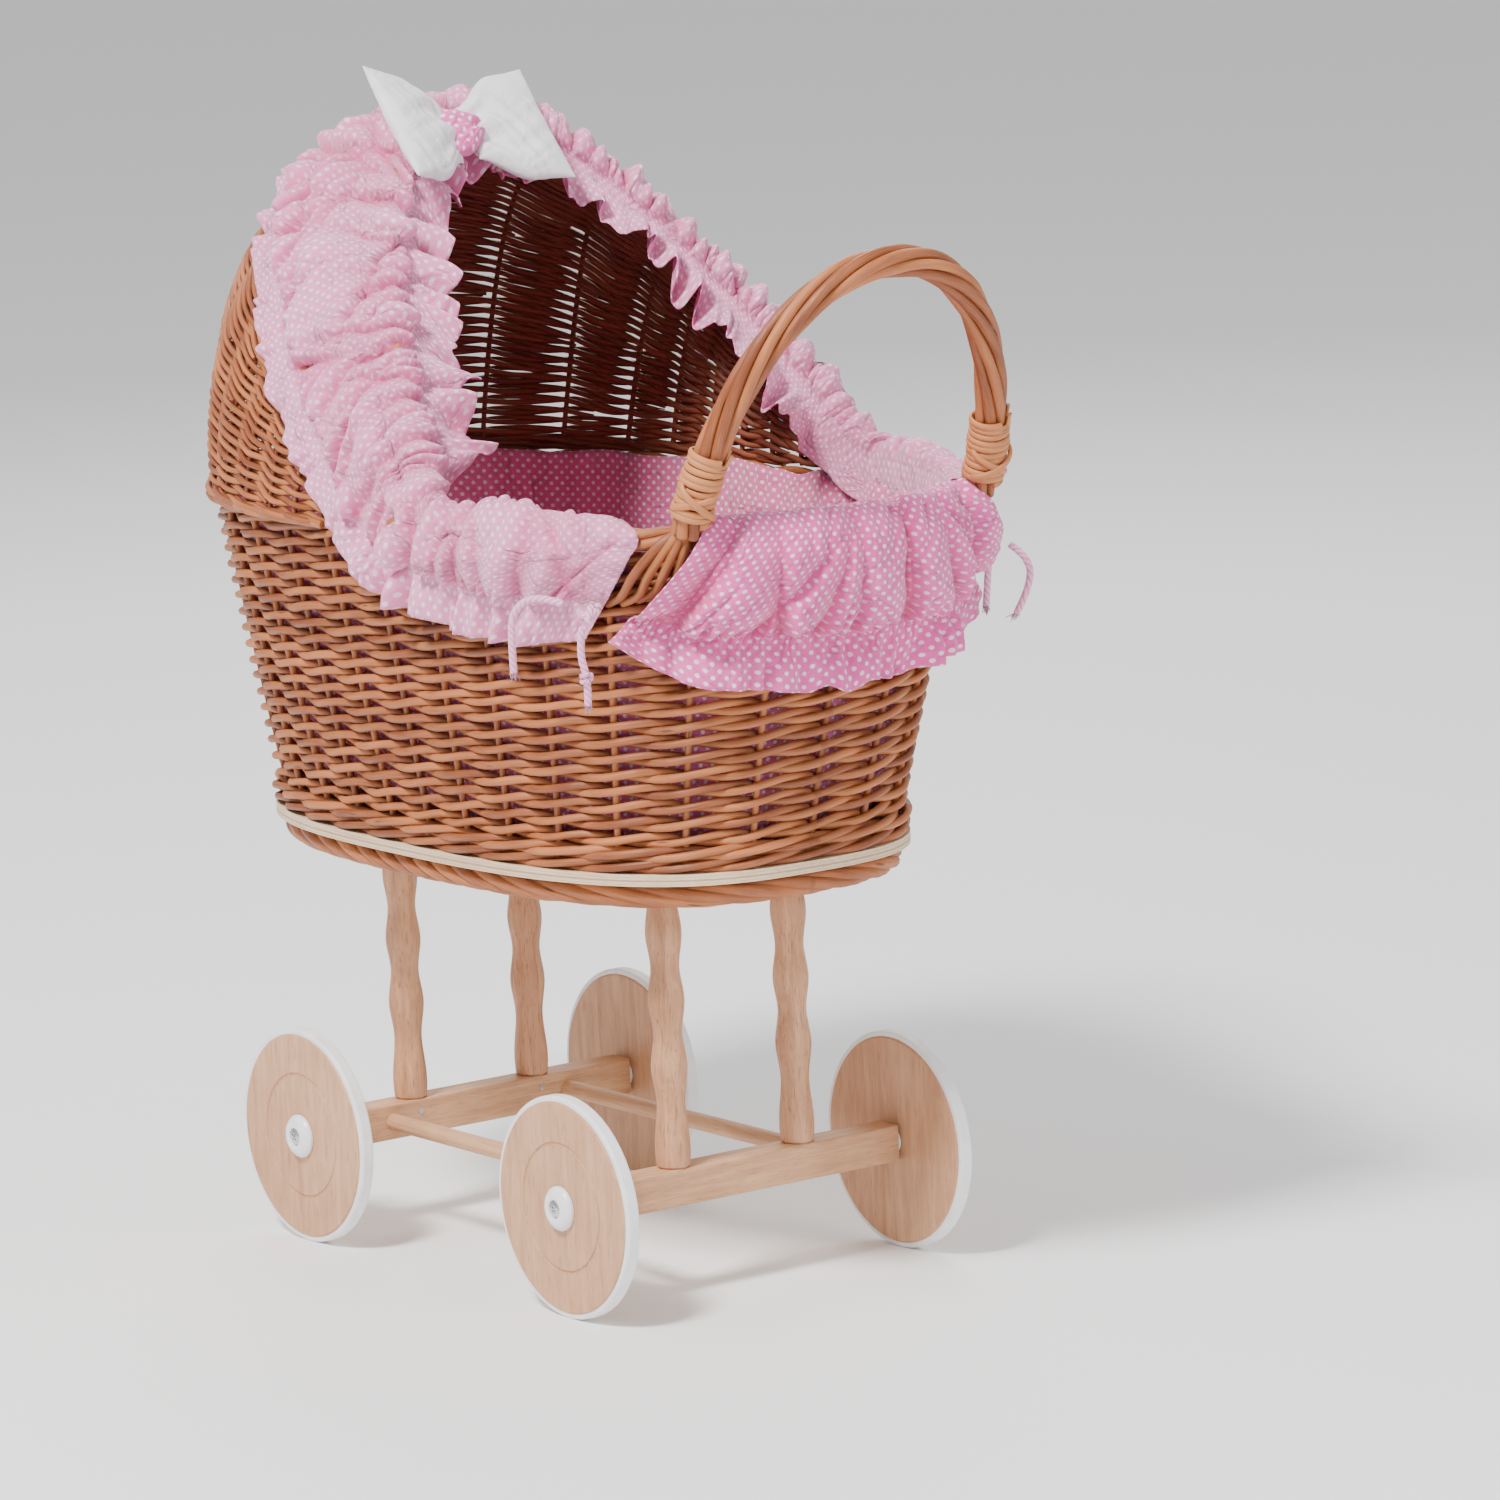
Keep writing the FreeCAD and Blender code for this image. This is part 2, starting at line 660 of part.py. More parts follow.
def make_textiles():
    outside = -wall_thickness - fabric_gap
    inside = outside - lining_thickness
    floor = board_top + fabric_gap
    heights = spread(floor, lining_top, 5)
    cup = Part.makeLoft([closed_wire(wall_point, h, outside) for h in heights], True)
    heights = spread(floor + lining_thickness, lining_top + 1, 5)
    cup = cup.cut(Part.makeLoft([closed_wire(wall_point, h, inside) for h in heights], True))
    save("lining", [cup])

    save("foot_valance", [over_rim(foot_valance_edge, None, foot_hem_height, 1)])
    side_end = math.degrees(math.atan2(rim_reach(math.pi / 2), hood_pivot + 2.5 * edge_border_radius))
    for side, sign in (("left", -1), ("right", 1)):
        save("side_valance_%s" % side, [over_rim(side_valance_edge, side_end, side_hem_height, sign)])

    inner = []
    outer = []
    for degrees in spread(-hood_band_sweep, hood_band_sweep, 29):
        sweep = math.radians(degrees)
        length = blend(hood_band_crown, hood_band_side, min(abs(degrees) / 60, 1))
        stand = 2.0
        drop = [length * (1 - k / 9) for k in range(9)]
        for grid, extra in ((inner, 0), (outer, fabric_thickness)):
            line = [hood_band_point(sweep, d, stand + extra + 3.0 * d / length) for d in drop]
            wrap = edge_border_radius + border_clearance + extra
            turns = [math.radians(t) for t in spread(-10, 190, 8)]
            over = [(wrap * math.cos(t) - wall_thickness / 2,
                     wrap * math.sin(t) + edge_border_radius + touch_gap) for t in turns]
            line += [hood_point(1, sweep, offset, forward) for offset, forward in over]
            grid.append(line)
    save("hood_valance", [skin_solid(outer, inner)])

    inner = []
    outer = []
    for degrees in spread(-hood_band_sweep, hood_band_sweep, 29):
        sweep = math.radians(degrees)
        start = wall_thickness / 2 + edge_border_radius + border_clearance + 2 * fabric_thickness
        offsets = spread(start, start + ruffle_depth, 5)
        inner.append([hood_point(1, sweep, -offset, 8.0) for offset in offsets])
        outer.append([hood_point(1, sweep, -offset, 8.0 + fabric_thickness) for offset in offsets])
    save("hood_ruffle", [skin_solid(outer, inner)])


def pad(half_sizes, centre, lean):
    # Soft rounded block: a ball drawn out to three half sizes, leaning back by an angle.
    ball = Part.makeSphere(1.0)
    stretch = FreeCAD.Matrix(half_sizes[2], 0, 0, 0, 0, half_sizes[0], 0, 0, 0, 0, half_sizes[1], 0, 0, 0, 0, 1)
    solid = ball.transformGeometry(stretch)
    solid.rotate(Vec(0, 0, 0), Vec(0, 1, 0), -lean)
    solid.translate(centre)
    return solid


def make_bow():
    lean = 90 - math.degrees(hood_top_angle)
    forward = 2 * edge_border_radius + 3 * fabric_thickness + bow_loop_half[2]
    knot = hood_point(1, 0, -bow_drop, forward) + Vec(0, bow_side_shift, 0)
    middle = pad(bow_knot_half, knot, lean)
    save("bow_knot", [middle])
    for side, sign in (("left", -1), ("right", 1)):
        centre = knot + Vec(-2, sign * bow_spread, 3)
        save("bow_loop_%s" % side, [pad(bow_loop_half, centre, lean).cut(middle)])


# The ties' routes, chosen by hand: from each knot to the loose end.
left_tie_rear = [(199.5, -147.5, 409.0), (186.0, -156.0, 414.0), (171.0, -161.0, 404.0),
                 (168.5, -160.5, 387.0), (166.5, -158.5, 370.0)]
left_tie_front = [(209.0, -142.0, 396.5), (205.5, -142.5, 382.5), (208.5, -139.5, 368.5),
                  (206.0, -138.5, 354.0)]
right_tie_rear = [(201.5, 147.0, 409.0), (189.0, 156.5, 411.0), (175.0, 161.5, 400.0),
                  (172.5, 161.0, 383.5), (173.5, 158.5, 367.5)]
right_tie_front = [(217.0, 143.0, 408.0), (228.5, 147.5, 401.5), (231.0, 145.0, 385.0),
                   (224.0, 140.5, 371.0)]


def make_ties():
    height = 403.0
    for side, sign in (("left", -1), ("right", 1)):
        centre = wall_point(sign * math.radians(33.2), height, valance_stand_off + tie_knot_radius + 1)
        save("tie_knot_%s" % side, [Part.makeSphere(tie_knot_radius, centre)])
    routes = {"tie_left_rear": left_tie_rear, "tie_left_front": left_tie_front,
              "tie_right_rear": right_tie_rear, "tie_right_front": right_tie_front}
    for name, route in routes.items():
        save(name, [soft_cord(name, [Vec(*point) for point in route], tie_radius)])


def soft_cord(name, route, radius):
    # Straight runs joined by arcs that are tangent to both.
    edges = []
    radii = []
    here = route[0]
    for before, corner, after in zip(route, route[1:], route[2:]):
        back = before - corner
        ahead = after - corner
        turn = math.pi - back.getAngle(ahead)
        shorter = min(back.Length, ahead.Length)
        arc_radius = 0.45 * shorter / math.tan(turn / 2)
        reach = 0.45 * shorter
        start = corner + back.normalize() * reach
        finish = corner + ahead.normalize() * reach
        towards = (back + ahead).normalize()
        height = arc_radius / math.cos(turn / 2) - arc_radius
        middle = corner + towards * height
        edges.append(Part.makeLine(here, start))
        edges.append(Part.Arc(start, middle, finish).toShape())
        radii.append(round(arc_radius, 1))
        here = finish
    edges.append(Part.makeLine(here, route[-1]))
    path = Part.Wire(edges)
    circle = Part.Wire(Part.makeCircle(radius, route[0], route[1] - route[0]))
    cord = path.makePipeShell([circle], True, True)
    length = sum(edge.Length for edge in edges)
    section = math.pi * radius ** 2
    print("%s: length %.1f mm, arc radii %s, volume %.3f of section times length" % (
        name, length, radii, cord.Volume / (section * length)))
    return cord


make_wheels()
frame_screws = make_underframe()
make_base(frame_screws)
rim_solid = make_tub()
make_hood()
make_handle(rim_solid)
make_textiles()
make_bow()
make_ties()
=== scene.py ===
import math

import bmesh
import bpy
import numpy as np
from mathutils import Matrix, Vector
from mathutils.bvhtree import BVHTree


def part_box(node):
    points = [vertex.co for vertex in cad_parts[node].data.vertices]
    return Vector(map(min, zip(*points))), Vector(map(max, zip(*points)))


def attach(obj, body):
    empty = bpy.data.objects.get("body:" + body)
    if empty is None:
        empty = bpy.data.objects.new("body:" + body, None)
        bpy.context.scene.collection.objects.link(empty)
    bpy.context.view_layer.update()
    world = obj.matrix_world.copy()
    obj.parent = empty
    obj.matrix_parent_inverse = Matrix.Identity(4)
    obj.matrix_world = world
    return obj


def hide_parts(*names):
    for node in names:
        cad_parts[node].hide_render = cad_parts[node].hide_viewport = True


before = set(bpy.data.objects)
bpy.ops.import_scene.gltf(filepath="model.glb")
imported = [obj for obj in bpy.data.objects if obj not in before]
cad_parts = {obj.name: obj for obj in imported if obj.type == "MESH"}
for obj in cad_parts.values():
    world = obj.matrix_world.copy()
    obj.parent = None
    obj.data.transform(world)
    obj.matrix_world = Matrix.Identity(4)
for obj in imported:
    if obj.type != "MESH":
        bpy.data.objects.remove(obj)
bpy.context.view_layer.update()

# Wicker doll pram, metres: +Z up, +X towards the foot end with the push handle, left is -Y.
random = np.random.default_rng(7)


def report(stage):
    print("made", stage, flush=True)


def lerp(a, b, share):
    return a + (b - a) * share


def smooth(edge0, edge1, value):
    share = np.clip((value - edge0) / (edge1 - edge0), 0, 1)
    return share * share * (3 - 2 * share)


def addObject(name, data):
    made = bpy.data.objects.new(name, data)
    bpy.context.collection.objects.link(made)
    return made


def runAlong(line):
    return np.concatenate([[0], np.cumsum(np.linalg.norm(np.diff(line, axis=0), axis=1))])


def readAt(line, run, place):
    return np.stack([np.interp(place, run, line[:, k]) for k in range(3)], axis=1)


# Camera and ties.
view = {"azimuth": 53.974, "elevation": 9.693, "roll": -2.449, "distance": 4.10995,
        "aim": (0.160712, 0.0, 0.305569), "lens": 179.065}


def makeCamera():
    turn = math.radians(view["azimuth"])
    lift = math.radians(view["elevation"])
    roll = math.radians(view["roll"])
    back = Vector((math.sin(turn) * math.cos(lift), -math.cos(turn) * math.cos(lift), math.sin(lift)))
    right = (-back).cross(Vector((0, 0, 1))).normalized()
    up = right.cross(-back)
    across = right * math.cos(roll) + up * math.sin(roll)
    above = up * math.cos(roll) - right * math.sin(roll)
    place = Vector(view["aim"]) + back * view["distance"]
    data = bpy.data.cameras.new("camera")
    data.lens = view["lens"]
    data.sensor_width = 36
    data.clip_end = 50
    camera = addObject("camera", data)
    camera.matrix_world = Matrix((
        (across.x, above.x, back.x, place.x),
        (across.y, above.y, back.y, place.y),
        (across.z, above.z, back.z, place.z),
        (0, 0, 0, 1)))
    bpy.context.scene.camera = camera


makeCamera()

# The ties' routes, given from each knot to the loose end.
ties = {
    "tie_left_rear": [(0.1995, -0.1475, 0.409), (0.186, -0.156, 0.414), (0.171, -0.161, 0.404),
                      (0.1685, -0.1605, 0.387), (0.1665, -0.1585, 0.370)],
    "tie_left_front": [(0.209, -0.142, 0.3965), (0.2055, -0.1425, 0.3825), (0.2085, -0.1395, 0.3685),
                       (0.206, -0.1385, 0.354)],
    "tie_right_rear": [(0.2015, 0.147, 0.409), (0.189, 0.1565, 0.411), (0.175, 0.1615, 0.400),
                       (0.1725, 0.161, 0.3835), (0.1735, 0.1585, 0.3675)],
    "tie_right_front": [(0.217, 0.143, 0.408), (0.2285, 0.1475, 0.4015), (0.231, 0.145, 0.385),
                        (0.224, 0.1405, 0.371)],
}
tieCord = {"radius": 0.0020, "twistLength": 0.011, "endKnot": 0.67}


def splinePoints(name, route):
    # Points along the smooth line that the route draws.
    curve = bpy.data.curves.new(name + "Line", "CURVE")
    curve.dimensions = "3D"
    line = curve.splines.new("NURBS")
    line.points.add(len(route) - 1)
    for point, place in zip(line.points, route):
        point.co = (*place, 1)
    line.order_u = 3
    line.use_endpoint_u = True
    line.resolution_u = 24
    holder = addObject(name + "Line", curve)
    bpy.context.view_layer.update()
    flat = bpy.data.meshes.new_from_object(holder.evaluated_get(bpy.context.evaluated_depsgraph_get()))
    points = np.array([v.co[:] for v in flat.vertices])
    bpy.data.objects.remove(holder)
    return points


# Node helpers.
def addNode(tree, kind, inputs=None, **settings):
    made = tree.nodes.new(kind)
    for name, value in settings.items():
        setattr(made, name, value)
    for key, value in (inputs or {}).items():
        if isinstance(value, bpy.types.NodeSocket):
            tree.links.new(value, made.inputs[key])
        else:
            made.inputs[key].default_value = value
    return made


def maths(tree, operation, *values, clamp=False):
    return addNode(tree, "ShaderNodeMath", dict(enumerate(values)), operation=operation,
                   use_clamp=clamp).outputs[0]


def vectorMaths(tree, operation, *values, output=0):
    return addNode(tree, "ShaderNodeVectorMath", dict(enumerate(values)),
                   operation=operation).outputs[output]


def noise(tree, vector, scale, detail=3.0, roughness=0.55):
    return addNode(tree, "ShaderNodeTexNoise", {"Vector": vector, "Scale": scale, "Detail": detail,
                                                "Roughness": roughness}).outputs["Fac"]


def remap(tree, value, low, high, toLow=0.0, toHigh=1.0):
    return addNode(tree, "ShaderNodeMapRange", {0: value, 1: low, 2: high, 3: toLow, 4: toHigh}).outputs[0]


def mixColours(tree, share, first, second):
    return addNode(tree, "ShaderNodeMix", {0: share, 6: first, 7: second}, data_type="RGBA").outputs[2]


def mapped(tree, vector, scale):
    return addNode(tree, "ShaderNodeMapping", {"Vector": vector, "Scale": scale}).outputs[0]


def newGroup(name, inputs, outputs):
    tree = bpy.data.node_groups.new(name, "ShaderNodeTree")
    for label, kind, value in inputs:
        socket = tree.interface.new_socket(label, in_out="INPUT", socket_type=kind)
        if value is not None:
            socket.default_value = value
    for label, kind in outputs:
        tree.interface.new_socket(label, in_out="OUTPUT", socket_type=kind)
    return tree, tree.nodes.new("NodeGroupInput"), tree.nodes.new("NodeGroupOutput")


def useGroup(tree, group, inputs):
    return addNode(tree, "ShaderNodeGroup", inputs, node_tree=group).outputs


def newMaterial(name, **constants):
    material = bpy.data.materials.new(name)
    material.use_nodes = True
    tree = material.node_tree
    shader = tree.nodes["Principled BSDF"]
    for key, value in constants.items():
        shader.inputs[key.replace("_", " ")].default_value = value
    return material, tree, shader


def objectPlace(tree):
    return tree.nodes.new("ShaderNodeTexCoord").outputs["Object"]


def attribute(tree, name, output="Vector"):
    return addNode(tree, "ShaderNodeAttribute", attribute_name=name).outputs[output]


def bump(tree, height, distance, strength=1.0):
    return addNode(tree, "ShaderNodeBump", {"Height": height, "Distance": distance,
                                            "Strength": strength}).outputs["Normal"]


def dress(tree, shader, colour, roughness, normal):
    tree.links.new(colour, shader.inputs["Base Color"])
    tree.links.new(roughness, shader.inputs["Roughness"])
    tree.links.new(normal, shader.inputs["Normal"])


def darker(colour, share):
    return tuple(c * share for c in colour[:3]) + (1,)


# Shared effects.
def makeRodGrain():
    # Peeled willow: long fibres, blotches, small dark knots.
    tree, given, result = newGroup("rodGrain", [("Along", "NodeSocketVector", None),
                                                ("Tone", "NodeSocketFloat", 0.5)],
                                   [("Shade", "NodeSocketFloat"), ("Knots", "NodeSocketFloat"),
                                    ("Height", "NodeSocketFloat")])
    along = maths(tree, "MULTIPLY", given.outputs["Tone"], 37.0)
    shift = addNode(tree, "ShaderNodeCombineXYZ", {"Z": along}).outputs[0]
    place = vectorMaths(tree, "ADD", given.outputs["Along"], shift)
    fibres = noise(tree, mapped(tree, place, (1400, 1400, 60)), 1.0, 4.0, 0.6)
    blotch = noise(tree, mapped(tree, place, (90, 90, 26)), 1.0, 2.0)
    spots = mapped(tree, place, (160, 160, 24))
    dots = addNode(tree, "ShaderNodeTexVoronoi", {"Vector": spots, "Scale": 1.0}).outputs["Distance"]
    knots = remap(tree, dots, 0.06, 0.13, 1.0, 0.0)
    fibreShade = maths(tree, "MULTIPLY", maths(tree, "SUBTRACT", fibres, 0.5), 0.7)
    toneShade = maths(tree, "MULTIPLY", given.outputs["Tone"], 0.45)
    slowShade = maths(tree, "ADD", maths(tree, "MULTIPLY", blotch, 0.75), toneShade)
    shade = maths(tree, "ADD", fibreShade, slowShade)
    tree.links.new(shade, result.inputs["Shade"])
    tree.links.new(knots, result.inputs["Knots"])
    tree.links.new(maths(tree, "SUBTRACT", fibres, maths(tree, "MULTIPLY", knots, 0.5)),
                   result.inputs["Height"])
    return tree


def makeTimberGrain():
    # Planed timber: bands along one direction, short flecks, slow colour drift.
    tree, given, result = newGroup("timberGrain", [("Place", "NodeSocketVector", None),
                                                   ("Stretch", "NodeSocketVector", (1, 1, 1)),
                                                   ("Fleck", "NodeSocketFloat", 0.5)],
                                   [("Shade", "NodeSocketFloat"), ("Flecks", "NodeSocketFloat"),
                                    ("Height", "NodeSocketFloat")])
    stretched = vectorMaths(tree, "MULTIPLY", given.outputs["Place"], given.outputs["Stretch"])
    bands = addNode(tree, "ShaderNodeTexNoise", {"Vector": stretched, "Scale": 1.0, "Detail": 5.0,
                                                 "Roughness": 0.62,
                                                 "Distortion": 0.6}).outputs["Fac"]
    fine = addNode(tree, "ShaderNodeTexNoise", {"Vector": stretched, "Scale": 5.5,
                                                "Detail": 3.0}).outputs["Fac"]
    flecks = remap(tree, fine, 0.56, 0.68)
    drift = noise(tree, given.outputs["Place"], 14.0, 2.0)
    shade = maths(tree, "ADD", maths(tree, "MULTIPLY", bands, 0.8), maths(tree, "MULTIPLY", drift, 0.35))
    tree.links.new(shade, result.inputs["Shade"])
    tree.links.new(maths(tree, "MULTIPLY", flecks, given.outputs["Fleck"]), result.inputs["Flecks"])
    tree.links.new(maths(tree, "SUBTRACT", bands, maths(tree, "MULTIPLY", flecks, 0.4)),
                   result.inputs["Height"])
    return tree


def makeClothWeave():
    # Plain woven cotton on cloth coordinates in metres: threads, slubs, rumple.
    tree, given, result = newGroup("clothWeave", [("Cloth", "NodeSocketVector", None),
                                                  ("Thread", "NodeSocketFloat", 0.00042)],
                                   [("Shade", "NodeSocketFloat"), ("Height", "NodeSocketFloat"),
                                    ("Rumple", "NodeSocketFloat")])
    parts = addNode(tree, "ShaderNodeSeparateXYZ", {0: given.outputs["Cloth"]})
    broad = addNode(tree, "ShaderNodeTexNoise", {"Vector": given.outputs["Cloth"], "Scale": 46.0,
                                                 "Detail": 3.0,
                                                 "Roughness": 0.5, "Distortion": 1.4}).outputs["Fac"]
    ridges = maths(tree, "ABSOLUTE", maths(tree, "SUBTRACT", broad, 0.5))
    tree.links.new(maths(tree, "SUBTRACT", maths(tree, "MULTIPLY", ridges, 3.0), broad),
                   result.inputs["Rumple"])
    turn = maths(tree, "DIVIDE", 2 * math.pi, given.outputs["Thread"])
    warp = maths(tree, "SINE", maths(tree, "MULTIPLY", parts.outputs[0], turn))
    weft = maths(tree, "SINE", maths(tree, "MULTIPLY", parts.outputs[1], turn))
    over = maths(tree, "MULTIPLY", warp, weft)
    slubs = noise(tree, mapped(tree, given.outputs["Cloth"], (900, 120, 1)), 1.0)
    drift = noise(tree, given.outputs["Cloth"], 30.0, 3.0)
    shade = maths(tree, "ADD", maths(tree, "MULTIPLY", slubs, 0.45), maths(tree, "MULTIPLY", drift, 0.55))
    tree.links.new(shade, result.inputs["Shade"])
    tree.links.new(maths(tree, "ADD", maths(tree, "MULTIPLY", over, 0.5), slubs), result.inputs["Height"])
    return tree


def makeHandlingMarks():
    # Handling marks and dust: a soft cloudy mask with sparse specks.
    tree, given, result = newGroup("handlingMarks",
                                   [("Place", "NodeSocketVector", None), ("Scale", "NodeSocketFloat", 60.0)],
                                   [("Cloud", "NodeSocketFloat"), ("Specks", "NodeSocketFloat")])
    place, scale = given.outputs["Place"], given.outputs["Scale"]
    clouds = addNode(tree, "ShaderNodeTexNoise", {"Vector": place, "Scale": scale,
                                                  "Detail": 5.0}).outputs["Fac"]
    cloud = remap(tree, clouds, 0.42, 0.68)
    fine = maths(tree, "MULTIPLY", scale, 9.0)
    cells = addNode(tree, "ShaderNodeTexVoronoi", {"Vector": place, "Scale": fine}).outputs["Distance"]
    tree.links.new(cloud, result.inputs["Cloud"])
    tree.links.new(remap(tree, cells, 0.05, 0.12, 1.0, 0.0), result.inputs["Specks"])
    return tree


rodGrain = makeRodGrain()
timberGrain = makeTimberGrain()
clothWeave = makeClothWeave()
handlingMarks = makeHandlingMarks()


# Finishes.
willowFinish = {"light": (0.525, 0.180, 0.060, 1), "dark": (0.200, 0.050, 0.014, 1),
                "knot": (0.13, 0.045, 0.018, 1),
                # Painted shade: the two colours on the next line darken the inward faces of the hood's rods.
                "stain": (0.150, 0.033, 0.018, 1), "paintedShadeLight": (0.24, 0.068, 0.03, 1),
                "paleLight": (0.60, 0.235, 0.085, 1), "paleDark": (0.36, 0.12, 0.037, 1)}


def willowMaterial(name, light, dark):
    material, tree, shader = newMaterial(name, Specular_IOR_Level=0.45, Coat_Roughness=0.4)
    grain = useGroup(tree, rodGrain, {"Along": attribute(tree, "grain"),
                                      "Tone": attribute(tree, "tone", "Fac")})
    colour = mixColours(tree, remap(tree, grain["Shade"], 0.30, 0.95), dark, light)
    colour = mixColours(tree, grain["Knots"], colour, willowFinish["knot"])
    # Painted shade: faces that look into the hood are mixed towards a dark brown.
    inner = maths(tree, "MULTIPLY", attribute(tree, "paintedInnerShade", "Fac"), 0.96)
    stain = mixColours(tree, remap(tree, grain["Shade"], 0.25, 0.9), willowFinish["stain"],
                       willowFinish["paintedShadeLight"])
    colour = mixColours(tree, inner, colour, stain)
    marks = useGroup(tree, handlingMarks, {"Place": objectPlace(tree), "Scale": 45.0})
    rough = remap(tree, maths(tree, "ADD", grain["Shade"], marks["Cloud"]), 0.2, 1.8, 0.38, 0.62)
    dress(tree, shader, colour, rough, bump(tree, grain["Height"], 0.0003))
    return material


clothFinish = {"pink": (0.88, 0.115, 0.43, 1), "deepPink": (0.86, 0.17, 0.39, 1),
               # Painted shade: the first colour on the next line darkens the cloth's fold valleys.
               "creaseShade": (0.62, 0.045, 0.20, 1), "dot": (0.96, 0.84, 0.93, 1),
               "dotPitch": 0.0066, "dotRadius": 0.00115}


def clothMaterial(name, dotted=True, faded=0.0, base=None):
    material, tree, shader = newMaterial(name, Sheen_Weight=0.35, Sheen_Roughness=0.5,
                                         Specular_IOR_Level=0.25)
    cloth = addNode(tree, "ShaderNodeUVMap", uv_map="cloth").outputs["UV"]
    weave = useGroup(tree, clothWeave, {"Cloth": cloth})
    marks = useGroup(tree, handlingMarks, {"Place": objectPlace(tree), "Scale": 30.0})
    ground = base or clothFinish["pink"]
    low = darker(ground, 0.84)
    colour = mixColours(tree, remap(tree, weave["Shade"], 0.3, 0.7), low, ground)
    colour = mixColours(tree, maths(tree, "MULTIPLY", marks["Cloud"], 0.06), colour, (0.90, 0.62, 0.72, 1))
    if dotted:
        wobble = addNode(tree, "ShaderNodeTexNoise",
                         {"Vector": cloth, "Scale": 260.0, "Detail": 1.0}).outputs["Color"]
        shifted = vectorMaths(tree, "ADD", cloth, vectorMaths(tree, "MULTIPLY", wobble, (0.0006, 0.0006, 0)))
        cells = vectorMaths(tree, "SCALE", shifted)
        cells.node.inputs["Scale"].default_value = 1 / clothFinish["dotPitch"]
        nearest = []
        for offset in (0.0, 0.5):
            moved = vectorMaths(tree, "ADD", cells, (offset, offset, 0))
            inCell = vectorMaths(tree, "SUBTRACT", vectorMaths(tree, "FRACTION", moved), (0.5, 0.5, 0))
            flat = vectorMaths(tree, "MULTIPLY", inCell, (1, 1, 0))
            nearest.append(vectorMaths(tree, "LENGTH", flat, output=1))
        distance = maths(tree, "MINIMUM", *nearest)
        edge = clothFinish["dotRadius"] / clothFinish["dotPitch"]
        dots = remap(tree, distance, edge * 0.75, edge * 1.14, 0.86, 0.0)
        colour = mixColours(tree, dots, colour, clothFinish["dot"])
    if faded:
        colour = mixColours(tree, faded, colour, (0.88, 0.62, 0.72, 1))
    if dotted:
        # Painted shade: fold valleys, flute troughs and the frill's far swings are mixed to a darker pink.
        deep = maths(tree, "MULTIPLY", attribute(tree, "creaseShade", "Fac"), 0.80)
        colour = mixColours(tree, deep, colour, clothFinish["creaseShade"])
    rumple = bump(tree, weave["Rumple"], 0.0024 if dotted else 0.0009)
    threads = addNode(tree, "ShaderNodeBump", {"Height": weave["Height"], "Distance": 0.00012,
                                               "Normal": rumple})
    dress(tree, shader, colour, remap(tree, weave["Shade"], 0.2, 0.8, 0.78, 0.92), threads.outputs["Normal"])
    return material


def timberMaterial(name, stretch, light, dark, fleck=0.5):
    material, tree, shader = newMaterial(name, Specular_IOR_Level=0.4)
    place = objectPlace(tree)
    grain = useGroup(tree, timberGrain, {"Place": place, "Stretch": stretch, "Fleck": fleck})
    marks = useGroup(tree, handlingMarks, {"Place": place, "Scale": 38.0})
    colour = mixColours(tree, remap(tree, grain["Shade"], 0.42, 0.72), dark, light)
    colour = mixColours(tree, maths(tree, "MULTIPLY", grain["Flecks"], 0.7), colour, darker(dark, 0.55))
    colour = mixColours(tree, maths(tree, "MULTIPLY", marks["Cloud"], 0.12), colour, darker(dark, 0.8))
    rough = remap(tree, grain["Shade"], 0.3, 0.9, 0.62, 0.46)
    dress(tree, shader, colour, rough, bump(tree, grain["Height"], 0.00016))
    return material


def plyMaterial():
    # Edge plies run round the board, and the face veneer shows below.
    material, tree, shader = newMaterial("birchPly", Specular_IOR_Level=0.35)
    place = objectPlace(tree)
    low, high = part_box("base_board")[0][2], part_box("base_board")[1][2]
    grain = useGroup(tree, timberGrain, {"Place": place, "Stretch": (26, 240, 900), "Fleck": 0.3})
    marks = useGroup(tree, handlingMarks, {"Place": place, "Scale": 30.0})
    height = addNode(tree, "ShaderNodeSeparateXYZ", {0: place}).outputs[2]
    share = remap(tree, height, low, high)
    fromMiddle = maths(tree, "ABSOLUTE", maths(tree, "SUBTRACT", share, 0.46))
    line = maths(tree, "MAXIMUM", remap(tree, fromMiddle, 0.05, 0.10, 1.0, 0.0),
                 remap(tree, maths(tree, "ABSOLUTE", maths(tree, "SUBTRACT", fromMiddle, 0.30)), 0.02, 0.05,
                       0.45, 0.0))
    colour = mixColours(tree, remap(tree, grain["Shade"], 0.36, 0.8), (0.58, 0.40, 0.25, 1),
                        (0.82, 0.66, 0.48, 1))
    colour = mixColours(tree, maths(tree, "MULTIPLY", line, 0.75), colour, (0.40, 0.22, 0.12, 1))
    colour = mixColours(tree, maths(tree, "MULTIPLY", marks["Cloud"], 0.10), colour, (0.5, 0.36, 0.24, 1))
    rough = remap(tree, grain["Shade"], 0.3, 0.9, 0.66, 0.5)
    dress(tree, shader, colour, rough, bump(tree, maths(tree, "SUBTRACT", grain["Height"], line), 0.0002))
    return material


def mouldedMaterial(name, colour, grime, roughness, scale, metallic=0.0):
    material, tree, shader = newMaterial(name, Metallic=metallic, Specular_IOR_Level=0.5)
    place = objectPlace(tree)
    marks = useGroup(tree, handlingMarks, {"Place": place, "Scale": scale})
    grainNoise = noise(tree, place, 1600.0, 2.0)
    tint = mixColours(tree, maths(tree, "MULTIPLY", marks["Cloud"], 0.30), colour, grime)
    tint = mixColours(tree, maths(tree, "MULTIPLY", marks["Specks"], 0.25), tint, darker(grime, 0.6))
    rough = remap(tree, maths(tree, "ADD", grainNoise, marks["Cloud"]), 0.3, 1.6, *roughness)
    dress(tree, shader, tint, rough, bump(tree, grainNoise, 0.00004))
    return material


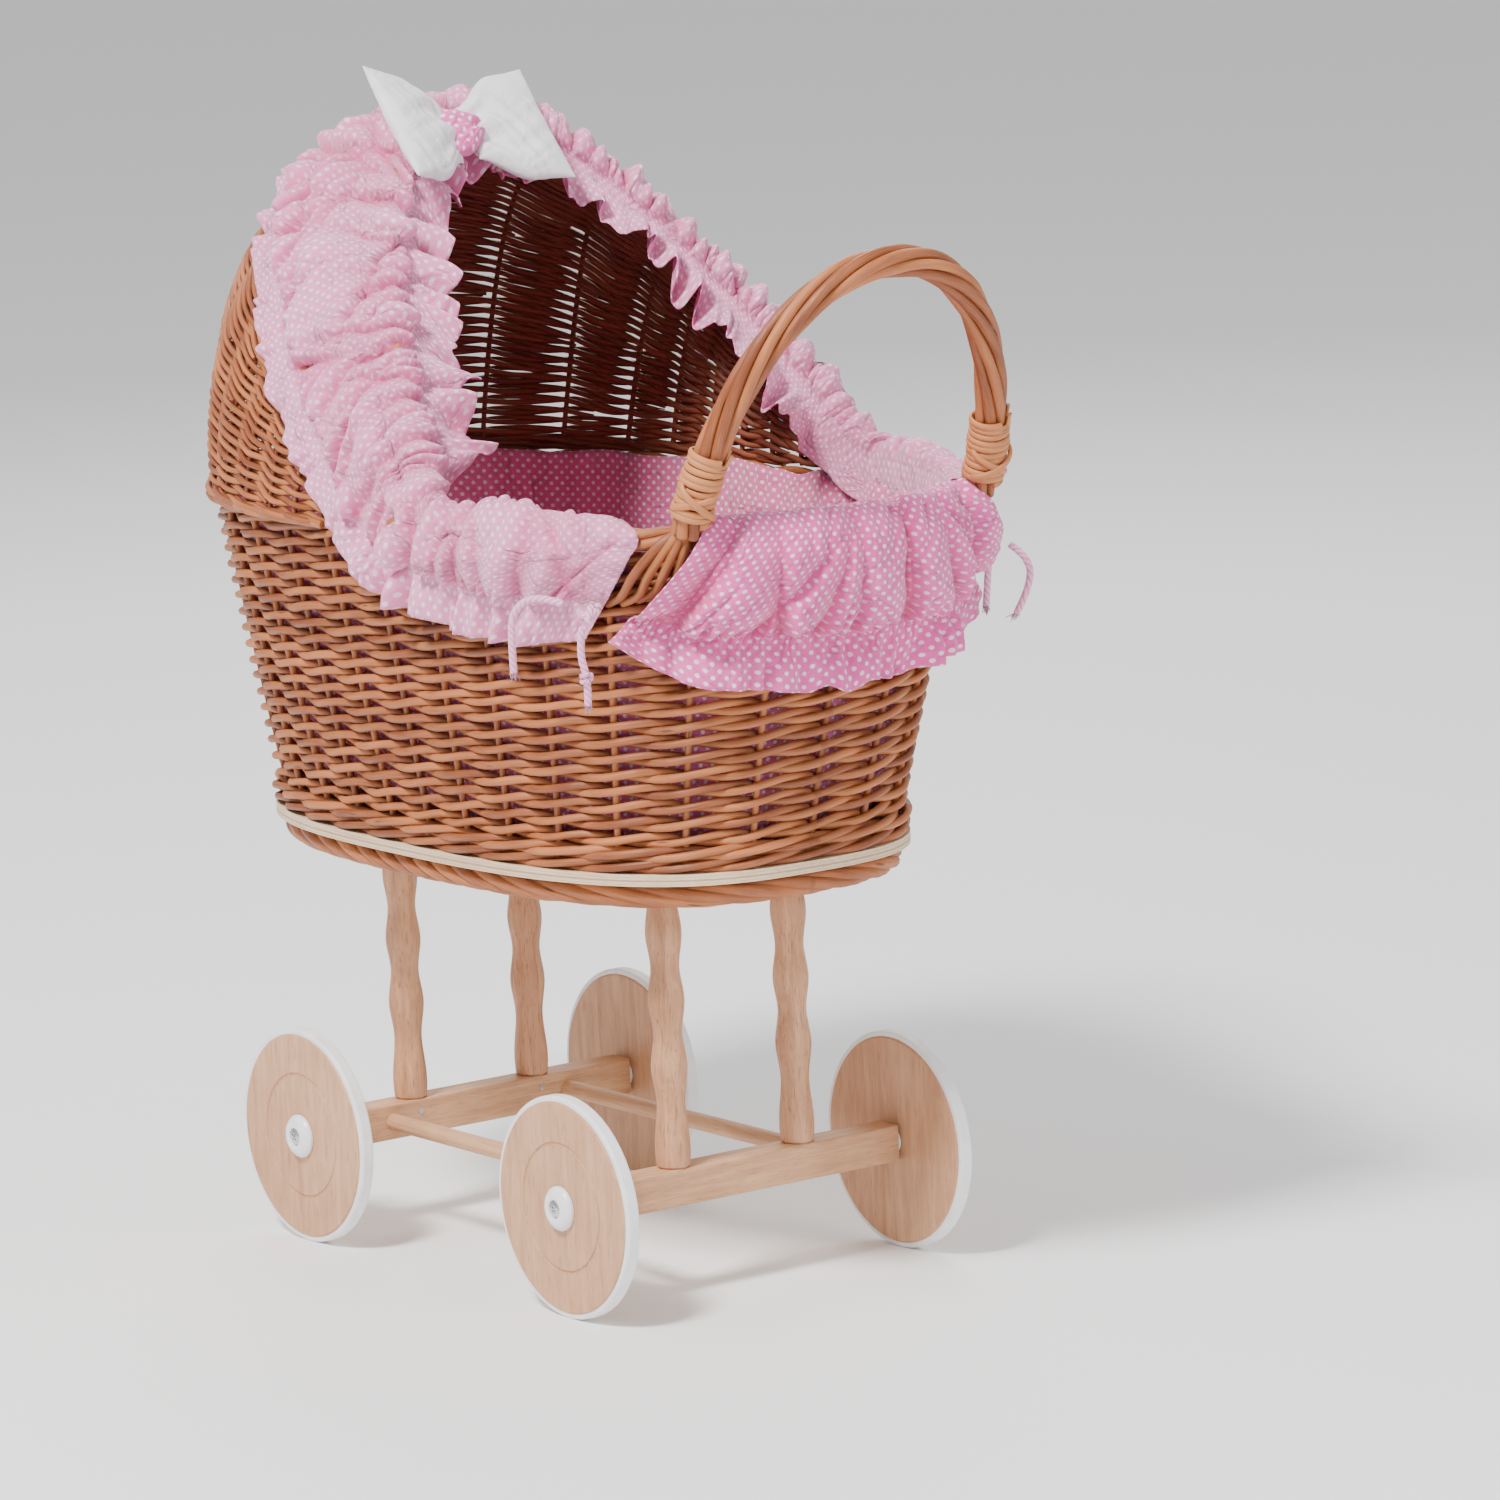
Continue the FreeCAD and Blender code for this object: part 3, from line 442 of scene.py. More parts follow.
willow = willowMaterial("peeledWillow", willowFinish["light"], willowFinish["dark"])
willowPale = willowMaterial("whippedWillow", willowFinish["paleLight"], willowFinish["paleDark"])
dottedCotton = clothMaterial("dottedCotton")
dottedReverse = clothMaterial("dottedReverse", faded=0.35)
liningCotton = clothMaterial("liningCotton", base=clothFinish["deepPink"])
plainCotton = clothMaterial("plainCotton", dotted=False, base=(0.90, 0.90, 0.91, 1))
beechUpright = timberMaterial("beechUpright", (210, 210, 16), (0.66, 0.36, 0.20, 1), (0.45, 0.21, 0.11, 1),
                              0.9)
beechAcross = timberMaterial("beechAcross", (260, 18, 260), (0.64, 0.365, 0.20, 1), (0.46, 0.235, 0.12, 1),
                             0.6)
beechAlong = timberMaterial("beechAlong", (18, 300, 300), (0.68, 0.40, 0.225, 1), (0.48, 0.26, 0.14, 1), 0.4)
wheelBeech = timberMaterial("wheelBeech", (170, 600, 14), (0.64, 0.365, 0.21, 1), (0.48, 0.245, 0.13, 1), 0.7)
plyBoard = plyMaterial()
whiteRubber = mouldedMaterial("whiteRubber", (0.84, 0.84, 0.86, 1), (0.62, 0.60, 0.58, 1), (0.42, 0.6), 90.0)
whitePlastic = mouldedMaterial("whitePlastic", (0.86, 0.87, 0.90, 1), (0.70, 0.70, 0.70, 1), (0.22, 0.4),
                               160.0)
zincSteel = mouldedMaterial("zincSteel", (0.62, 0.62, 0.64, 1), (0.40, 0.38, 0.36, 1), (0.22, 0.42), 260.0,
                            metallic=1.0)
report("materials")

finishes = {
    "head_axle_beam": beechAcross, "foot_axle_beam": beechAcross,
    "stretcher_left": beechAlong, "stretcher_right": beechAlong,
    "leg_brads": zincSteel, "base_screws": zincSteel, "base_board": plyBoard,
}
for end in ("head", "foot"):
    for side in ("left", "right"):
        corner = end + "_" + side
        finishes["leg_" + corner] = beechUpright
        finishes["wheel_disc_" + corner] = wheelBeech
        finishes["tyre_" + corner] = whiteRubber
        finishes["hub_cap_" + corner] = whitePlastic
        finishes["axle_screw_" + corner] = zincSteel
        finishes["spacer_washer_" + corner] = whitePlastic
for nodeName, material in finishes.items():
    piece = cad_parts[nodeName]
    piece.data.materials.clear()
    piece.data.materials.append(material)


# The pram's surfaces.
def cadLow(node, axis):
    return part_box(node)[0][axis]


def cadHigh(node, axis):
    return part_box(node)[1][axis]


tub = {"foot": cadHigh("base_board", 2), "top": cadHigh("basket_wall", 2), "inset": 0.003,
       "frontTop": cadHigh("basket_wall", 0), "rearTop": -cadLow("basket_wall", 0),
       "halfTop": cadHigh("basket_wall", 1), "boardLength": cadHigh("base_board", 0),
       "boardHalf": cadHigh("base_board", 1), "footPower": 2.8, "topPower": 2.5, "flareBend": 1.15}
hood = {"pivot": 0.082, "edgeX": -0.098, "crownX": -0.115, "height": 0.209, "power": 2.3, "edgeHalf": 0.150,
        "bulge": 0.09, "rimPowers": (2.9, 2.9), "edgePowers": (1.25, 2.0)}
hood["lean"] = math.atan2(hood["height"] * 0.995, hood["pivot"] - hood["edgeX"])


def stack(x, y, z):
    return np.stack(np.broadcast_arrays(x, y, z), axis=-1)


def wallPoint(angle, height, out=0.0):
    share = (height - tub["foot"]) / (tub["top"] - tub["foot"])
    flare = np.sign(share) * np.abs(share) ** tub["flareBend"]
    length = tub["boardLength"] - tub["inset"]
    front = lerp(length, tub["frontTop"], flare) + out
    rear = lerp(length, tub["rearTop"], share) + out
    half = lerp(tub["boardHalf"] - tub["inset"], tub["halfTop"], share) + out
    power = lerp(tub["footPower"], tub["topPower"], share)
    reach = (np.abs(np.cos(angle) / np.where(np.cos(angle) > 0, front, rear)) ** power
             + np.abs(np.sin(angle) / half) ** power) ** (-1 / power)
    return stack(reach * np.cos(angle), reach * np.sin(angle), height)


def rimPoint(angle, height, out=0.0):
    point = wallPoint(angle, tub["top"] + 0 * angle, out)
    return stack(point[..., 0], point[..., 1], height)


def boardPoint(angle, height, out=0.0):
    length, half, power = tub["boardLength"] + out, tub["boardHalf"] + out, tub["footPower"]
    reach = (np.abs(np.cos(angle) / length) ** power + np.abs(np.sin(angle) / half) ** power) ** (-1 / power)
    return stack(reach * np.cos(angle), reach * np.sin(angle), height)


def solveReach(rises, like):
    low = np.full(np.shape(like), 0.001)
    high = np.full(np.shape(like), 0.6)
    for _ in range(36):
        middle = (low + high) / 2
        over = rises(middle) > 0
        high = np.where(over, middle, high)
        low = np.where(over, low, middle)
    return low


def rimReach(sweep):
    def outside(reach):
        x = hood["pivot"] - reach * np.cos(sweep)
        length = np.where(x > 0, tub["frontTop"], tub["rearTop"])
        across = reach * np.sin(sweep) / tub["halfTop"]
        return np.abs(x / length) ** tub["topPower"] + np.abs(across) ** tub["topPower"] - 1
    return solveReach(outside, sweep)


def crownReach(tilt):
    def outside(reach):
        x = hood["pivot"] - reach * np.cos(tilt)
        back = np.maximum(hood["crownX"] - x, 0) / (hood["crownX"] + tub["rearTop"])
        return back ** hood["power"] + np.abs(reach * np.sin(tilt) / hood["height"]) ** hood["power"] - 1
    return solveReach(outside, tilt)


def hoodPoint(share, sweep, out=0.0, forward=0.0):
    share, sweep, out, forward = np.broadcast_arrays(share * 1.0, sweep * 1.0, out * 1.0, forward * 1.0)
    tilt = hood["lean"] * share
    crown = crownReach(tilt) + out
    half = lerp(rimReach(np.array(math.pi / 2)), hood["edgeHalf"], share) + out
    crownPower = lerp(hood["rimPowers"][0], hood["edgePowers"][0], np.maximum(share, 0) ** 2.2)
    sidePower = lerp(hood["rimPowers"][1], hood["edgePowers"][1], share)
    cosine, sine = np.cos(sweep), np.sin(sweep)
    reach = solveReach(lambda r: np.abs(r * cosine / crown) ** crownPower
                       + np.abs(r * sine / half) ** sidePower - 1, share)
    reach = lerp(reach, rimReach(sweep) + out, np.clip(1 - share, 0, 1) ** 4)
    bulge = 1 + hood["bulge"] * 4 * share * (1 - share) * cosine ** 2
    level = reach * cosine
    return stack(hood["pivot"] - level * np.cos(tilt) + forward * np.sin(tilt), reach * sine * bulge,
                 tub["top"] + level * np.sin(tilt) + forward * np.cos(tilt))


def unit(vectors):
    return vectors / np.maximum(np.linalg.norm(vectors, axis=-1, keepdims=True), 1e-9)


def catmull(points, at):
    # Smooth curve through points[0], points[1], ... read at fractional places.
    points = np.asarray(points, float)
    last = len(points) - 1
    padded = np.concatenate([2 * points[:1] - points[1:2], points, 2 * points[-1:] - points[-2:-1]])
    start = np.clip(np.floor(at).astype(int), 0, last - 1)
    t = (at - start).reshape((-1,) + (1,) * (points.ndim - 1))
    a, b, c, d = (padded[start + k] for k in range(4))
    return 0.5 * (2 * b + (c - a) * t + (2 * a - 5 * b + 4 * c - d) * t ** 2 + (3 * b - a - 3 * c + d)
                  * t ** 3)


def evenly(points, count):
    # The same line with evenly spaced points.
    run = runAlong(points)
    return readAt(points, run, np.linspace(0, run[-1], count))


# Rods that follow paths.
def makeRodTree():
    tree = bpy.data.node_groups.new("rodsAlongPaths", "GeometryNodeTree")
    face = tree.interface
    for label, kind, value in (("Paths", "NodeSocketGeometry", None),
                               ("Rod radius", "NodeSocketFloat", 0.002),
                               ("Sides", "NodeSocketInt", 8), ("Flatness", "NodeSocketFloat", 1.0),
                               ("Unevenness", "NodeSocketFloat", 0.08), ("Seed", "NodeSocketFloat", 1.0),
                               ("Finish", "NodeSocketMaterial", None)):
        socket = face.new_socket(label, in_out="INPUT", socket_type=kind)
        if value is not None:
            socket.default_value = value
    face.new_socket("Rods", in_out="OUTPUT", socket_type="NodeSocketGeometry")
    given = tree.nodes.new("NodeGroupInput")
    result = tree.nodes.new("NodeGroupOutput")

    def stored(name, kind="FLOAT"):
        return addNode(tree, "GeometryNodeInputNamedAttribute", {"Name": name},
                       data_type=kind).outputs["Attribute"]

    def store(geometry, name, value, kind):
        inputs = {"Name": name, "Geometry": geometry, "Value": value}
        return addNode(tree, "GeometryNodeStoreNamedAttribute", inputs, data_type=kind,
                       domain="POINT").outputs[0]

    line = addNode(tree, "GeometryNodeMeshToCurve", {"Mesh": given.outputs["Paths"]}).outputs[0]
    face4 = addNode(tree, "GeometryNodeSetCurveNormal", {"Curve": line}, mode="FREE")
    tree.links.new(stored("outward", "FLOAT_VECTOR"), face4.inputs["Normal"])
    length = tree.nodes.new("GeometryNodeSplineParameter").outputs["Length"]
    line = store(face4.outputs[0], "run", length, "FLOAT")
    place = tree.nodes.new("GeometryNodeInputPosition").outputs[0]
    drift = addNode(tree, "ShaderNodeTexNoise", {"Vector": place, "W": given.outputs["Seed"], "Scale": 34.0,
                                                 "Detail": 1.0}, noise_dimensions="4D").outputs["Fac"]
    uneven = maths(tree, "MULTIPLY", given.outputs["Unevenness"], 4.0)
    swell = maths(tree, "MULTIPLY", maths(tree, "SUBTRACT", drift, 0.5), uneven)
    scale = maths(tree, "MULTIPLY", stored("thickness"), maths(tree, "ADD", swell, 1.0))
    circle = {"Resolution": given.outputs["Sides"], "Radius": given.outputs["Rod radius"]}
    ring = addNode(tree, "GeometryNodeCurvePrimitiveCircle", circle, mode="RADIUS").outputs[0]
    squash = addNode(tree, "ShaderNodeCombineXYZ", {"X": given.outputs["Flatness"], "Y": 1.0,
                                                    "Z": 1.0}).outputs[0]
    squashed = addNode(tree, "GeometryNodeTransform", {"Geometry": ring})
    tree.links.new(squash, squashed.inputs["Scale"])
    ring = store(squashed.outputs[0], "ring", tree.nodes.new("GeometryNodeInputPosition").outputs[0],
                 "FLOAT_VECTOR")
    skin = addNode(tree, "GeometryNodeCurveToMesh", {"Curve": line, "Profile Curve": ring, "Scale": scale,
                                                     "Fill Caps": True}).outputs[0]
    parts = addNode(tree, "ShaderNodeSeparateXYZ", {0: stored("ring", "FLOAT_VECTOR")})
    grain = addNode(tree, "ShaderNodeCombineXYZ", {"X": parts.outputs[0], "Y": parts.outputs[1],
                                                   "Z": stored("run")}).outputs[0]
    skin = store(skin, "grain", grain, "FLOAT_VECTOR")
    # Painted shade: on rods flagged for it, faces that look inward get a share that darkens them in the
    # material.
    facing = vectorMaths(tree, "DOT_PRODUCT", tree.nodes.new("GeometryNodeInputNormal").outputs[0],
                         stored("outward", "FLOAT_VECTOR"), output=1)
    innerShade = maths(tree, "MULTIPLY", remap(tree, facing, 0.35, -0.25), stored("innerShade"))
    skin = store(skin, "paintedInnerShade", innerShade, "FLOAT")
    soft = addNode(tree, "GeometryNodeSetShadeSmooth", {"Geometry": skin}).outputs[0]
    real = addNode(tree, "GeometryNodeRealizeInstances", {"Geometry": soft}).outputs[0]
    tree.links.new(addNode(tree, "GeometryNodeSetMaterial",
                           {"Geometry": real, "Material": given.outputs["Finish"]}).outputs[0],
                   result.inputs[0])
    return tree


rodTree = makeRodTree()


# The last argument sets how far the rod's inward faces take painted shade.
def rod(points, outward, closed=False, thickness=1.0, tone=None, innerShade=0.0):
    points = np.asarray(points, float)
    count = len(points)
    along = np.gradient(points, axis=0)
    if closed:
        along = np.roll(points, -1, axis=0) - np.roll(points, 1, axis=0)
    along = unit(along)
    square = np.broadcast_to(outward, (count, 3)) * 1.0
    square = square - along * (square * along).sum(axis=1, keepdims=True)
    weak = np.linalg.norm(square, axis=1) < 0.05
    square[weak] = np.cross(along[weak], (0.36, 0.80, 0.48))
    return {"points": points, "outward": unit(square), "closed": closed,
            "thickness": np.broadcast_to(thickness, count), "innerShade": innerShade,
            "tone": random.random() if tone is None else tone}


def treeInput(tree, label):
    return next(i.identifier for i in tree.interface.items_tree if i.name == label and i.in_out == "INPUT")


def evaluated(holder, name):
    bpy.context.view_layer.update()
    graph = bpy.context.evaluated_depsgraph_get()
    mesh = bpy.data.meshes.new_from_object(holder.evaluated_get(graph), preserve_all_data_layers=True,
                                           depsgraph=graph)
    bpy.data.objects.remove(holder)
    mesh.name = name
    return addObject(name, mesh)


def weaveRods(name, rods, radius, material, sides=8, flatness=1.0, unevenness=0.08, seed=1.0):
    counts = [len(r["points"]) for r in rods]
    mesh = bpy.data.meshes.new(name + "Paths")
    edges = []
    first = 0
    for r, count in zip(rods, counts):
        edges += [(first + k, first + k + 1) for k in range(count - 1)]
        if r["closed"]:
            edges.append((first + count - 1, first))
        first += count
    mesh.from_pydata(np.concatenate([r["points"] for r in rods]).tolist(), edges, [])
    for label, kind, key in (("outward", "FLOAT_VECTOR", "outward"), ("thickness", "FLOAT", "thickness")):
        values = np.concatenate([r[key] for r in rods]).astype(np.float32).ravel()
        holds = "vector" if kind == "FLOAT_VECTOR" else "value"
        mesh.attributes.new(label, kind, "POINT").data.foreach_set(holds, values)
    for label in ("tone", "innerShade"):
        values = np.concatenate([np.full(count, r[label], np.float32) for r, count in zip(rods, counts)])
        mesh.attributes.new(label, "FLOAT", "POINT").data.foreach_set("value", values)
    holder = addObject(name + "Paths", mesh)
    modifier = holder.modifiers.new("rods", "NODES")
    modifier.node_group = rodTree
    for label, value in (("Rod radius", radius), ("Sides", sides), ("Flatness", flatness),
                         ("Unevenness", unevenness),
                         ("Seed", seed), ("Finish", material)):
        modifier[treeInput(rodTree, label)] = value
    return evaluated(holder, name)


def settle(piece, nodes=()):
    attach(piece, "root")
    if nodes:
        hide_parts(*nodes)
    area = sum(face.area for face in piece.data.polygons)
    report("%s, %d faces, %.4f square metres" % (piece.name, len(piece.data.polygons), area))
    return piece


# Tub wicker.
tubWicker = {"stakes": 30, "firstStake": 0.0, "pairs": 18, "rodRadius": 0.00235, "stakeRadius": 0.0020,
             "swing": 0.0033, "samples": 9, "waleTop": cadHigh("bottom_wale", 2) - 0.001}


def stakeAngles():
    # Stakes stand at equal distances round the middle of the wall.
    fine = np.linspace(0, 2 * math.pi, 1441)
    line = wallPoint(fine, np.full(fine.shape, (tub["foot"] + tub["top"]) / 2))
    run = runAlong(line)
    at = np.linspace(0, run[-1], tubWicker["stakes"] + 1)[:-1]
    return np.interp(at, run, fine) + tubWicker["firstStake"]


def wander(at, seed, scale=1.0):
    # Slow smooth drift that closes on itself over 0..2 pi.
    parts = np.random.default_rng(seed)
    value = 0
    for k in range(1, 6):
        value = value + parts.normal() / k * np.sin(k * scale * at + parts.uniform(0, 6.28))
    return value * 0.45


tubStakes = stakeAngles()


def tubRing(samples):
    # Angles round the tub with their place counted in stakes.
    count = tubWicker["stakes"]
    at = np.arange(count * samples) / samples
    wrapped = np.concatenate([tubStakes, [tubStakes[0] + 2 * math.pi]])
    return np.interp(at, np.arange(count + 1), wrapped), at


def outwardOf(surface, *place):
    return unit(surface(*place, 0.001) - surface(*place, 0.0))


def makeTubWeave():
    s = tubWicker
    angle, at = tubRing(s["samples"])
    centre = -(s["rodRadius"] + s["swing"])
    bottom, top = s["waleTop"], tub["top"] - 0.001
    pitch = (top - bottom) / s["pairs"]
    rods = []
    for pair in range(s["pairs"]):
        for parity in (0, 1):
            phase = math.pi * (at + parity)
            tone = random.random()
            height = bottom + pitch * (pair + 0.5) + pitch / 4 * np.sin(phase)
            height = height + 0.0006 * wander(angle, 100 + pair * 2 + parity,
                                              3) + 0.0005 * wander(angle, 40 + pair, 6)
            swing = s["swing"] * (1 + 0.10 * wander(angle, 300 + pair * 2 + parity, 5))
            line = wallPoint(angle, height, centre + swing * np.cos(phase))
            thick = 0.98 + 0.10 * wander(angle, 500 + pair * 2 + parity, 1)
            rods.append(rod(line, outwardOf(wallPoint, angle, height), True, thick, tone))
    return weaveRods("basketWeave", rods, s["rodRadius"], willow, sides=8, seed=2.0)


def makeStakes():
    s = tubWicker
    rods = []
    for angle in tubStakes:
        height = np.linspace(cadLow("wall_stakes", 2), tub["top"] - 0.005, 24)
        drift = 0.004 * (random.random() - 0.5)
        line = wallPoint(angle + drift * (height - height[0]) * 30, height,
                         np.full(24, -(s["rodRadius"] + s["swing"])))
        rods.append(rod(line, outwardOf(wallPoint, np.full(24, angle), height), thickness=1.0))
    return weaveRods("tubStakes", rods, s["stakeRadius"], willow, sides=8, seed=3.0)


def waleRods(surface, angle, at, middle, rows, pitch, out, swing, strands, seed, closed=True, innerShade=0.0):
    # Rows of rods that each pass in front of some stakes and behind one.
    rods = []
    for row in range(rows):
        for strand in range(strands):
            phase = 2 * math.pi * (at + strand) / strands
            height = middle + pitch * (row - (rows - 1) / 2) + pitch * 0.36 * np.sin(phase)
            height = height + 0.0005 * wander(angle, seed + row * 7 + strand, 4)
            line = surface(angle, height, out + swing * np.cos(phase))
            rods.append(rod(line, outwardOf(surface, angle, height), closed,
                            1 + 0.08 * wander(angle, seed + 50 + row * 7 + strand, 2), innerShade=innerShade))
    return rods


def makeBottomWale():
    angle, at = tubRing(7)
    middle = (tub["foot"] + tubWicker["waleTop"]) / 2 + 0.0003
    rods = waleRods(wallPoint, angle, at, middle, 2, 0.0068, -0.0030, 0.0042, 3, 700)
    return weaveRods("bottomWale", rods, 0.0023, willow, sides=8, seed=4.0)


ropes = {"footTurns": 8, "footRods": 5, "footRodRadius": 0.0033, "rimRods": 4,
         "rimRodRadius": 0.0031}


def ropeRods(centre, outward, upward, turns, count, radius, closed, innerShade=0.0, handed=1, flat=(1.0, 1.0)):
    # Rods that twist about a line, given the two directions square to it.
    steps = len(centre)
    share = np.arange(steps) / (steps if closed else steps - 1)
    rods = []
    for k in range(count):
        phase = handed * 2 * math.pi * turns * share + 2 * math.pi * k / count
        bend = radius * (outward * (np.cos(phase) * flat[0])[:, None] + upward
                         * (np.sin(phase) * flat[1])[:, None])
        rods.append(rod(centre + bend, unit(bend), closed,
                        1 + 0.07 * wander(share * 2 * math.pi, 900 + k * 3, 2), innerShade=innerShade))
    return rods


def makeFootBorder():
    low, high = cadLow("foot_border", 2), cadHigh("foot_border", 2)
    inner = -0.012
    angle = np.linspace(0, 2 * math.pi, 481)[:-1]
    height = np.full(angle.shape, (low + high) / 2 - 0.0002)
    centre = boardPoint(angle, height, inner)
    outward = outwardOf(boardPoint, angle, height)
    upward = np.tile((0.0, 0.0, 1.0), (len(angle), 1))
    rods = ropeRods(centre, outward, upward, ropes["footTurns"], ropes["footRods"], 0.0046, True, handed=-1,
                    flat=(1.12, 0.80))
    return weaveRods("footBorder", rods, ropes["footRodRadius"], willow, sides=9, seed=5.0)


settle(makeTubWeave(), ["basket_wall"])
settle(makeStakes(), ["wall_stakes"])
settle(makeBottomWale(), ["bottom_wale"])
settle(makeFootBorder(), ["foot_border"])


# Hood wicker.
hoodWicker = {"stakes": (0, 8.3, 16.5, 24.7, 32.0, 38.0, 44.0, 50.0, 57.0, 65.0, 74.0), "pairPitch": 0.0064,
              "rodRadius": 0.00185, "stakeRadius": 0.0016, "swing": 0.0025, "samples": 7, "end": 79.0}


def bitReversed(value, bits):
    return int(format(value, "0%db" % bits)[::-1], 2)


def makeHoodWeave():
    s = hoodWicker
    stakes = np.radians(sorted({-a for a in s["stakes"]} | set(s["stakes"])))
    half = len(s["stakes"]) - 1
    fineShare = np.linspace(0, 1, 201)
    crown = hoodPoint(fineShare, np.zeros(201))
    run = runAlong(crown)
    pairs = int(round(run[-1] / s["pairPitch"]))
    at = np.arange(-(half + 0.6) * s["samples"], (half + 0.6) * s["samples"] + 1) / s["samples"]
    reachEnd = math.radians(s["end"])
    knownAt = np.concatenate([[-half - 1], np.arange(-half, half + 1), [half + 1]])
    knownSweep = np.concatenate([[-reachEnd - 0.1], stakes, [reachEnd + 0.1]])
    sweep = np.clip(np.interp(at, knownAt, knownSweep), -reachEnd, reachEnd)
    # Fewer rows reach the pivots, and those that do spread out evenly.
    edge = hoodPoint(np.ones(len(sweep)), sweep)
    rim = hoodPoint(np.zeros(len(sweep)), sweep)
    room = np.linalg.norm(edge - rim, axis=1)
    room = np.clip(room / room[len(room) // 2], 0.10, 1)
    bits = int(math.ceil(math.log2(pairs)))
    keys = np.array([bitReversed(k, bits) for k in range(2 ** bits)])[:pairs]
    ranks = np.argsort(np.argsort(keys)) / pairs
    weight = smooth(0.0, 0.10, room[None, :] - ranks[:, None] * 0.93)
    total = weight.sum(axis=0)
    middle = (np.cumsum(weight, axis=0) - weight / 2) / total
    pitchShare = 1 / total
    centre = -(s["rodRadius"] + s["swing"])
    rods = []
    for pair in range(pairs):
        inUse = np.where(weight[pair] > 0.25)[0]
        if len(inUse) < 12:
            continue
        first, last = inUse[0], inUse[-1]
        part = slice(first, last + 1)
        for parity in (0, 1):
            phase = math.pi * (at[part] + parity)
            lift = np.sign(np.sin(phase)) * np.abs(np.sin(phase)) ** 0.65
            rise = middle[pair, part] + pitchShare[part] * 0.25 * lift
            drift = 0.0005 * wander(sweep[part], 1200 + pair * 2 + parity, 3)
            walked = rise * run[-1] + drift + 0.0006 * wander(sweep[part], 1500 + pair, 4)
            share = np.interp(walked, run, fineShare)
            swing = s["swing"] * (1 + 0.10 * wander(sweep[part], 1300 + pair * 2 + parity, 5))
            line = hoodPoint(share, sweep[part], centre + swing * np.cos(phase))
            outward = outwardOf(hoodPoint, share, sweep[part])
            thick = (0.97 + 0.09 * wander(sweep[part], 1400 + pair * 2 + parity,
                                          2)) * np.sqrt(np.clip(weight[pair, part], 0.3, 1))
            rods.append(rod(line, outward, False, thick, innerShade=1.0))
    woven = weaveRods("hoodWeave", rods, s["rodRadius"], willow, sides=6, seed=6.0)

    ribs = []
    for angle in stakes:
        share = np.linspace(0, 1, 26)
        bent = angle * (1 - 0.03 * share - 0.16 * share ** 2 * (abs(angle) < 0.5))
        line = hoodPoint(share, bent, np.full(26, centre))
        outward = outwardOf(hoodPoint, share, bent)
        ribs.append(rod(line, outward, innerShade=1.0))
    return woven, weaveRods("hoodRibs", ribs, s["stakeRadius"], willow, sides=8, seed=7.0)


def makeRims():
    # Long-stroke band where the hood starts, the plaited foot rim and the hood's front edge.
    rods = []
    sweep = np.radians(np.linspace(-60, 60, 200))
    at = np.linspace(0, 18, 200)

    def band(angle, height, out):
        return hoodPoint((height - tub["top"]) / 0.33, angle, out)

    rods += waleRods(band, sweep, at, tub["top"] + 0.003, 2, 0.0052, -0.0018, 0.0034, 3, 1600, closed=False,
                     innerShade=1.0)
    wale = weaveRods("hoodWale", rods, 0.0019, willow, sides=7, seed=8.0)

    angle = np.radians(np.linspace(-71, 71, 300))
    low, high = cadLow("rim_border", 2), cadHigh("rim_border", 2)
    middle = np.full(angle.shape, (low + high) / 2)
    centre = rimPoint(angle, middle, -0.0045)
    outward = outwardOf(rimPoint, angle, middle)
    upward = np.tile((0.0, 0.0, 1.0), (len(angle), 1))
    rods = ropeRods(centre, outward, upward, 6, ropes["rimRods"], 0.0040, False, flat=(1.15, 0.95))
    rim = weaveRods("rimBorder", rods, ropes["rimRodRadius"], willow, sides=8, seed=9.0)

    sweep = np.radians(np.linspace(-80, 80, 320))
    ones = np.ones(320)
    centre = hoodPoint(ones, sweep, ones * -0.0035, ones * 0.0068)
    outward = unit(hoodPoint(ones, sweep, ones * 0.001) - hoodPoint(ones, sweep))
    upward = unit(hoodPoint(ones, sweep, ones * 0, ones * 0.001) - hoodPoint(ones, sweep))
    rods = ropeRods(centre, outward, upward, 11, 4, 0.0036, False, innerShade=1.0)
    edge = weaveRods("hoodEdgeBorder", rods, 0.0028, willow, sides=7, seed=10.0)
    return wale, rim, edge


hoodWoven, hoodRibs = makeHoodWeave()
settle(hoodWoven, ["hood_weave"])
settle(hoodRibs, [])
hoodWale, rimBorder, hoodEdge = makeRims()
settle(hoodWale, [])
settle(rimBorder, ["rim_border"])
settle(hoodEdge, ["hood_edge_border"])


# Handle.
handle = {"footX": 0.2477, "halfSpan": 0.0985, "base": 0.4453, "rise": 0.1509, "lean": math.radians(22.7),
          "power": 2.08, "rods": 6, "rodRadius": 0.0031, "turns": 1.6, "bindingLength": 0.038, "wraps": 10}


def handleLine(turn):
    side = -np.cos(turn)
    rise = np.abs(np.sin(turn)) ** (2 / handle["power"])
    across = np.sign(side) * np.abs(side) ** (2 / handle["power"]) * handle["halfSpan"]
    return stack(handle["footX"] + handle["rise"] * rise * math.sin(handle["lean"]), across,
                 handle["base"] + handle["rise"] * rise * math.cos(handle["lean"]))


def frames(line, side):
    # Directions square to a line: one nearest to the given side, and the other.
    along = unit(np.gradient(line, axis=0))
    across = unit(side - along * (along @ side)[:, None])
    return across, np.cross(along, across)


